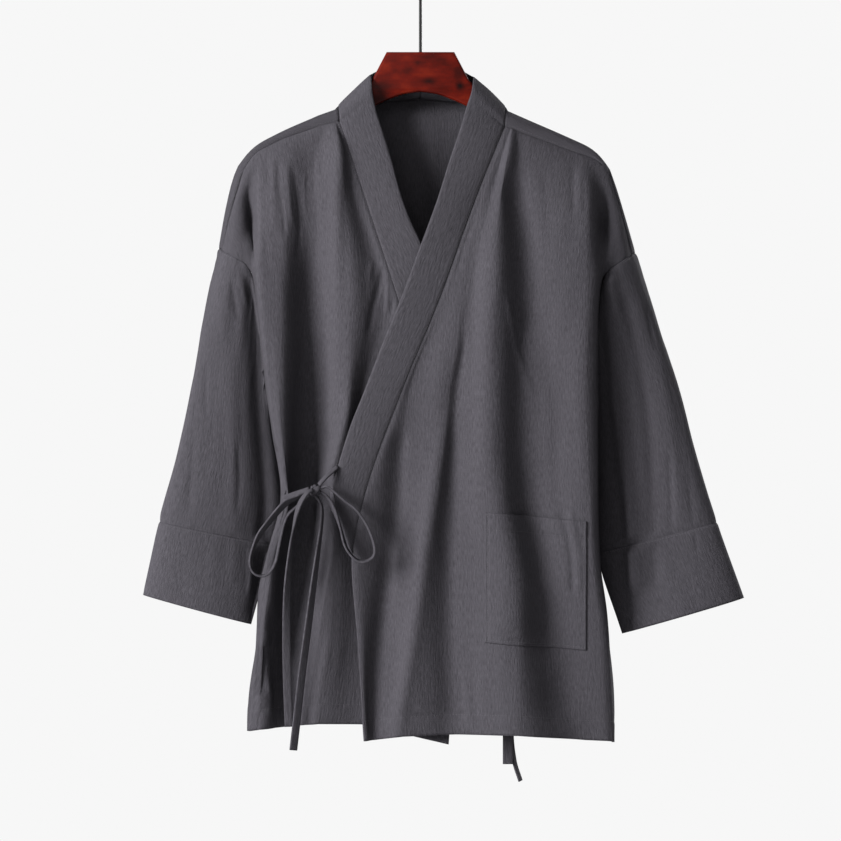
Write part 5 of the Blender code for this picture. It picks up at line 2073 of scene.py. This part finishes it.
class GeometryTree(NodeTree):
    """A geometry tree with a geometry input and output."""

    def __init__(self, name: str, **inputs: str) -> None:
        """Make the tree.

        Args:
            name: The tree's name.
            **inputs: The kind of socket for each of its named inputs.
        """
        super().__init__(bpy.data.node_groups.new(name, "GeometryNodeTree"))
        face = self.tree.interface
        for way in ("INPUT", "OUTPUT"):
            face.new_socket("Geometry", in_out=way, socket_type="NodeSocketGeometry")
        for title, kind in inputs.items():
            face.new_socket(title, in_out="INPUT", socket_type="NodeSocket" + kind)
        self.source = self.add("NodeGroupInput").outputs
        self.curve = self.add("GeometryNodeMeshToCurve",
                              {"Mesh": self.source["Geometry"]}).outputs["Curve"]

    def finish(self, geometry: Socket) -> bpy.types.NodeTree:
        """Shade the result smooth, make it real, set its material and send it out.

        Args:
            geometry: The geometry so far.

        Returns:
            The finished tree.
        """
        soft = self.add("GeometryNodeSetShadeSmooth", {"Geometry": geometry})
        real = self.add("GeometryNodeRealizeInstances", {"Geometry": soft.outputs["Geometry"]})
        paint = self.add("GeometryNodeSetMaterial", {"Geometry": real.outputs["Geometry"],
                                                     "Material": self.source["Material"]})
        self.add("NodeGroupOutput", {"Geometry": paint.outputs["Geometry"]})
        return self.tree


@dataclass(frozen=True)
class WireNodes:
    """Nodes that draw a round wire along a path."""

    sides: int = 20

    def tree(self) -> bpy.types.NodeTree:
        """Build the tree.

        Returns:
            The tree, with the wire's radius and material as its inputs.
        """
        nodes = GeometryTree("round_wire", Radius="Float", Material="Material")
        ring = nodes.add("GeometryNodeCurvePrimitiveCircle",
                         {"Resolution": self.sides, "Radius": nodes.source["Radius"]})
        tube = nodes.add("GeometryNodeCurveToMesh",
                         {"Fill Caps": True, "Curve": nodes.curve,
                          "Profile Curve": ring.outputs["Curve"]})
        return nodes.finish(tube.outputs["Mesh"])


@dataclass(frozen=True)
class StitchNodes:
    """Nodes that lay one small stitch after another along a path."""

    def tree(self) -> bpy.types.NodeTree:
        """Build the tree.

        Returns:
            The tree, with the stitches' pitch, size and material as its inputs.
        """
        nodes = GeometryTree("stitch_row", Pitch="Float", Size="Vector", Material="Material")
        spaced = nodes.add("GeometryNodeResampleCurve",
                           {"Curve": nodes.curve, "Length": nodes.source["Pitch"]}, mode="LENGTH")
        stitch = nodes.add("GeometryNodeMeshIcoSphere", {"Radius": 0.5, "Subdivisions": 1})
        tangent = nodes.add("GeometryNodeInputTangent")
        turn = nodes.add("FunctionNodeAlignRotationToVector",
                         {"Vector": tangent.outputs["Tangent"]}, axis="X")
        lay = nodes.add("GeometryNodeInstanceOnPoints",
                        {"Points": spaced.outputs["Curve"], "Instance": stitch.outputs["Mesh"],
                         "Rotation": turn.outputs["Rotation"], "Scale": nodes.source["Size"]})
        real = nodes.add("GeometryNodeRealizeInstances", {"Geometry": lay.outputs["Instances"]})
        return nodes.finish(real.outputs["Geometry"])


@dataclass
class Stitching:
    """All the rows of stitches."""

    pitch: float = 0.0034
    size: Point = (0.0026, 0.00042, 0.00042)

    def build(self, lines: list[Points], finishes: Finishes) -> Thing:
        """Make the stitches.

        Args:
            lines: The lines that they follow.
            finishes: The materials.

        Returns:
            The piece.
        """
        values = {"Pitch": self.pitch, "Size": self.size, "Material": finishes.thread}
        made = run_nodes(path_object("stitch_path", lines), StitchNodes().tree(), values,
                         "stitching")
        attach(made, "root")
        LOG.info("stitching: %d faces", len(made.data.polygons))
        return made


@dataclass
class Studio:
    """The camera, the soft lights, the pale surroundings and the floor.

    Attributes:
        lights: Each light's name, place, size and power.
        floor_size: The floor's half width, its near and far edges and its height.
    """

    eye: Point = (0.0, -5.045, -0.557)
    metres_per_pixel: float = 0.0012
    pixels: int = 841
    picture_distance: float = 5.0
    sensor: float = 36.0
    aim: Point = (0.0, 0.0, -0.55)
    lights: tuple[tuple[str, Point, float, float], ...] = (
        ("key", (-4.15, -2.55, 0.75), 2.5, 1950.0),
        ("fill", (-1.0, -5.2, 1.9), 2.6, 60.0),
        ("back", (3.7, 2.9, 0.9), 1.8, 700.0))
    surroundings: Point = (0.93, 0.93, 0.93)
    floor_tone: float = 0.38
    floor_size: Numbers = (2.4, -4.2, 1.9, -1.30)

    def build(self) -> None:
        """Set the whole studio up."""
        self.camera()
        for light in self.lights:
            self.light(*light)
        world = bpy.data.worlds.new("studio")
        world.use_nodes = True
        NodeTree(world.node_tree).feed(world.node_tree.nodes["Background"],
                                       {"Color": (*self.surroundings, 1.0), "Strength": 1.0})
        bpy.context.scene.world = world
        bpy.context.scene.view_settings.view_transform = "Standard"
        self.floor()

    def camera(self) -> None:
        """Set the camera where the photograph was taken from."""
        data = bpy.data.cameras.new("camera")
        data.sensor_width = self.sensor
        data.lens = self.sensor * self.picture_distance / (self.pixels * self.metres_per_pixel)
        camera = link(bpy.data.objects.new("camera", data))
        camera.location = self.eye
        camera.rotation_euler = (math.radians(90.0), 0.0, 0.0)
        bpy.context.scene.camera = camera

    def light(self, name: str, place: Point, size: float, power: float) -> None:
        """Put one soft square light up, turned towards the jacket.

        Args:
            name: The light's name.
            place: Where it hangs.
            size: Its side.
            power: Its power in watts.
        """
        data = bpy.data.lights.new(name, "AREA")
        data.shape = "SQUARE"
        data.size = size
        data.energy = power
        lamp = link(bpy.data.objects.new(name, data))
        lamp.location = place
        ahead = Vector(self.aim) - Vector(place)
        lamp.rotation_euler = ahead.to_track_quat("-Z", "Y").to_euler()

    def floor(self) -> None:
        """Lay the pale floor below the jacket, short of the camera's view."""
        width, near, far, height = self.floor_size
        mesh = bpy.data.meshes.new("floor")
        mesh.from_pydata([(-width, near, height), (width, near, height), (width, far, height),
                          (-width, far, height)], [], [(0, 1, 2, 3)])
        paint = Paint("pale_floor", Roughness=0.8)
        paint.dress({"Base Color": (*[self.floor_tone] * 3, 1.0)})
        mesh.materials.append(paint.material)
        link(bpy.data.objects.new("floor", mesh))


# Each crease's name, width, height and fade, then its points as (x, z)
RIGHT_FRONT_CREASES = (
    crease("deep hollow", 15, -12, 90, (-137, -322), (-134, -412), (-133, -472), (-134, -532),
        (-137, -592), (-143, -652), (-149, -712), (-154, -772), (-157, -844), (-159, -946), lean=0.25),
    crease("shoulder gather", 2, -1, 17, (-191, -266), (-188, -298), (-188, -331), (-183, -367)),
    crease("shoulder gather", 2, -1.2, 12, (-188, -235), (-184, -256), (-183, -276)),
    crease("shoulder gather ridge", 2.3, 1.3, 17, (-178, -237), (-177, -266), (-177, -298), (-175, -336)),
    crease("shoulder gather", 2.3, -2, 16, (-172, -240), (-170, -274), (-165, -307), (-163, -340)),
    crease("shoulder gather ridge", 2.2, 1.5, 16, (-161, -244), (-159, -276), (-157, -300), (-153, -328)),
    crease("shoulder gather", 2.6, -1.5, 22, (-154, -242), (-151, -268), (-147, -298), (-146, -328),
        (-148, -367)),
    crease("shoulder gather ridge", 2.6, 1.2, 19, (-141, -250), (-140, -292), (-135, -331)),
    crease("shoulder gather", 2.4, -0.9, 19, (-128, -232), (-128, -274), (-124, -322), (-128, -367)),
    crease("shoulder gather", 2, -0.8, 12, (-118, -232), (-119, -268)),
    crease("main ridge", 7.5, 3.8, 26, (-92, -194), (-97, -244), (-99, -292), (-99, -364), (-99, -436),
        (-101, -508), (-109, -580), lean=0.2),
    crease("pull hollow", 3.8, -2.2, 22, (-43, -367), (-51, -398), (-58, -424), (-64, -460)),
    crease("pull ridge", 2.8, 1.6, 19, (-37, -367), (-39, -400), (-41, -434)),
    crease("pull hollow", 2.6, -1.4, 17, (-29, -382), (-32, -410), (-37, -434)),
    crease("pull ridge", 2.8, 1.2, 17, (-58, -358), (-63, -394)),
    crease("inner hollow", 4, -1.4, 24, (-133, -430), (-134, -472), (-139, -514)),
    crease("tie crevice", 2.4, -4.5, 10, (-176, -586), (-173, -607), (-169, -628), (-163, -649)),
    crease("corner hollow", 8.5, -14, 11, (-97, -613), (-101, -624), (-107, -636), (-113, -649),
        (-121, -662)),
    crease("tie ridge", 2.6, 1.5, 10, (-167, -607), (-163, -628), (-159, -648)),
    crease("low pull", 8.5, -6, 22, (-183, -820), (-187, -844), (-189, -868), (-191, -895)),
    crease("low ridge", 3, 1.6, 14, (-181, -864), (-179, -892), (-183, -919)),
    crease("low crease", 2.6, -1, 10, (-190, -900), (-195, -919), (-197, -934)),
    crease("low ridge", 7.5, 2.5, 36, (-113, -724), (-112, -772), (-118, -844), (-130, -892),
        (-137, -946)),
    crease("outer hollow", 7, -3, 36, (-181, -772), (-176, -820), (-173, -868), (-172, -946)),
)

LEFT_FRONT_CREASES = (
    crease("long hollow", 17, -9, 60, (109, -232), (117, -292), (122, -328), (125, -364), (127, -400),
        (127, -436), (123, -472), (121, -532), (122, -592), (128, -652), (139, -712), (149, -772),
        (158, -850), lean=0.1),
    crease("low hollow", 25, -8, 66, (143, -742), (153, -808), (163, -868), (172, -946), lean=0.1),
    crease("long ridge", 12, 2.5, 60, (83, -292), (79, -364), (77, -448), (76, -532), (76, -592),
        (79, -652), lean=-0.2),
    crease("small ridge", 4.2, 1.6, 26, (103, -400), (112, -442), (119, -472), (129, -506), (136, -535)),
    crease("plateau", 12, 2, 54, (153, -484), (153, -556), (152, -628)),
    crease("inner hollow", 13, -4, 60, (49, -460), (43, -508), (37, -568), (34, -628), (33, -664),
        (31, -712), (32, -772), (34, -832), (39, -892), (44, -952), lean=0.15),
    crease("inner ridge", 9, 3.2, 54, (32, -532), (25, -592), (15, -652), (4, -712), (-2, -772),
        (-11, -832), (-22, -892), (-31, -952)),
    crease("hollow beside the edge", 10, -4.5, 36, (-20, -556), (-26, -604), (-27, -652), (-33, -712),
        (-44, -772), (-51, -832), (-58, -892), (-64, -952), lean=0.2),
    crease("soft line", 3.6, -1.2, 24, (63, -310), (49, -352), (41, -388)),
    crease("soft line", 3.4, -1.2, 22, (55, -448), (51, -478), (46, -514)),
    crease("shoulder gather", 3.2, -1.1, 22, (184, -242), (183, -280), (185, -316)),
    crease("shoulder gather ridge", 3.2, 1.1, 22, (193, -244), (191, -286), (190, -316)),
    crease("shoulder gather", 4, -0.7, 26, (149, -250), (151, -292), (153, -334)),
    crease("pocket crease", 2.8, -1.9, 19, (167, -664), (175, -688), (181, -720), (183, -772)),
    crease("pocket ridge", 3.2, 1.2, 22, (177, -652), (184, -688), (190, -724), (191, -772)),
    crease("low crease", 2.8, -1.1, 22, (44, -844), (49, -880), (51, -928)),
    crease("low crease", 2.8, -0.9, 19, (62, -868), (65, -898), (68, -934)),
)

RIGHT_SLEEVE_FRONT_CREASES = (
    crease("inner fall", 9.5, -5.5, 36, (-207, -367), (-201, -412), (-197, -472), (-195, -532),
        (-190, -592), (-187, -652), (-188, -724), (-196, -820), lean=0.25),
    crease("crest", 9, 1.2, 36, (-239, -382), (-238, -424), (-233, -472), (-230, -532), (-226, -604),
        (-224, -676), (-225, -772)),
    crease("pull", 3.6, -1.6, 19, (-229, -379), (-225, -412), (-217, -442)),
    crease("pull ridge", 3, 1.4, 17, (-221, -374), (-215, -394), (-206, -427)),
    crease("short crease", 3, -0.8, 22, (-259, -484), (-260, -532), (-257, -568)),
    crease("soft crease", 4, -0.8, 26, (-274, -568), (-277, -628), (-281, -676)),
    crease("soft crease", 3.4, -1.2, 22, (-221, -580), (-219, -628), (-223, -676)),
    crease("cuff ridge", 3.4, 1.6, 14, (-206, -706), (-205, -736), (-208, -772)),
)

RIGHT_SLEEVE_BACK_CREASES = (
    crease("back crest", 12, 3, 36, (-226, -388), (-233, -484), (-241, -604), (-259, -772)),
    crease("back hollow", 9, -3.5, 34, (-208, -400), (-211, -508), (-212, -628), (-223, -784)),
    crease("back hollow", 6, -1.8, 30, (-255, -460), (-269, -568), (-284, -700)),
    crease("back pull", 3.6, -1.4, 17, (-221, -374), (-231, -412), (-245, -454)),
)

LEFT_SLEEVE_FRONT_CREASES = (
    crease("inner ridge", 9, 6.5, 22, (224, -362), (229, -412), (232, -460), (235, -496), (237, -532),
        (241, -568), (245, -604), (250, -640), (255, -700), (260, -772), lean=-0.1),
    crease("long hollow", 8, -2.8, 30, (244, -394), (256, -448), (266, -496), (272, -532), (277, -580),
        (279, -628), (281, -700), (283, -772)),
    crease("outer ridge", 9, 1.4, 42, (283, -448), (292, -508), (301, -568), (307, -628), (311, -700)),
    crease("soft crease", 3.6, -1, 24, (301, -580), (302, -640), (303, -700)),
    crease("soft crease", 3.2, -0.9, 17, (271, -406), (275, -436), (284, -472)),
    crease("soft crease", 3.4, -0.8, 22, (323, -628), (328, -676), (335, -724)),
)

LEFT_SLEEVE_BACK_CREASES = (
    crease("back crest", 11, 2.8, 36, (230, -394), (242, -496), (254, -616), (275, -772)),
    crease("back hollow", 8, -3, 34, (251, -412), (268, -520), (280, -640), (302, -772)),
    crease("back ridge", 7, 1.8, 30, (269, -436), (292, -556), (316, -700)),
    crease("back pull", 3.6, -1.4, 17, (236, -376), (249, -412), (266, -448)),
)

BACK_CREASES = (
    crease("long hollow", 18, -5, 48, (-123, -292), (-118, -448), (-113, -652), (-118, -934)),
    crease("long ridge", 15, 3.5, 48, (-58, -256), (-61, -412), (-56, -628), (-63, -934)),
    crease("long hollow", 14, -4, 72, (-20, -364), (-25, -556), (-20, -772), (-27, -940)),
    crease("long ridge", 15, 3.5, 72, (38, -352), (31, -556), (35, -772), (45, -946)),
    crease("long hollow", 17, -5, 48, (95, -268), (91, -436), (98, -676), (112, -946)),
    crease("side hollow", 12, -3.5, 54, (167, -310), (163, -460), (175, -676), (182, -946)),
    crease("shoulder pull", 4.5, -1.6, 30, (-161, -250), (-145, -310), (-109, -382)),
    crease("shoulder pull", 4.5, 1.4, 30, (-145, -242), (-118, -298), (-82, -367)),
    crease("shoulder pull", 4.5, -1.6, 30, (163, -247), (139, -304), (105, -374)),
    crease("shoulder pull", 4.5, 1.4, 30, (143, -240), (117, -298), (86, -358)),
    crease("side fold", 9, -2.5, 48, (-171, -412), (-176, -556), (-169, -772), (-183, -934)),
)


def main() -> None:
    """Build the studio, the hanger and every piece of the jacket in order."""
    logging.basicConfig(level=logging.INFO, format="%(name)s %(message)s")
    Studio().build()
    finishes = Finishes()
    Hanger().build(finishes)
    back = BackPanel("back", BACK_CREASES, 31)
    right = FrontPanel("front_right", RIGHT_FRONT_CREASES, 11, RIGHT_FRONT, RIGHT_SIDE)
    left = FrontPanel("front_left", LEFT_FRONT_CREASES, 21, LEFT_FRONT, LEFT_SIDE)
    lines = back.stitch_lines() + right.stitch_lines() + left.stitch_lines()
    back.build(finishes)
    right.build(finishes)
    left.build(finishes)
    for collar, front in ((Collar("collar_right", RIGHT_BAND, False, 41), right),
                          (Collar("collar_left", LEFT_BAND, True, 42), left)):
        collar.shape(back, front)
        lines += collar.stitch_lines()
        collar.build(finishes)
    for sleeve in (Sleeve("right", RIGHT_SIDE, RIGHT_SLEEVE_FRONT_CREASES,
                          RIGHT_SLEEVE_BACK_CREASES, 51),
                   Sleeve("left", LEFT_SIDE, LEFT_SLEEVE_FRONT_CREASES,
                          LEFT_SLEEVE_BACK_CREASES, 61)):
        tube, cuff = sleeve.build(finishes)
        lines += sleeve.seams
    pocket = PatchPocket(left)
    pocket.build(finishes)
    lines += pocket.stitch_lines()
    for tie in TIES:
        tie.build(finishes)
    BowKnot().build(finishes)
    Stitching().build(lines, finishes)
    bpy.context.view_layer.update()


if __name__ == "__main__":
    main()
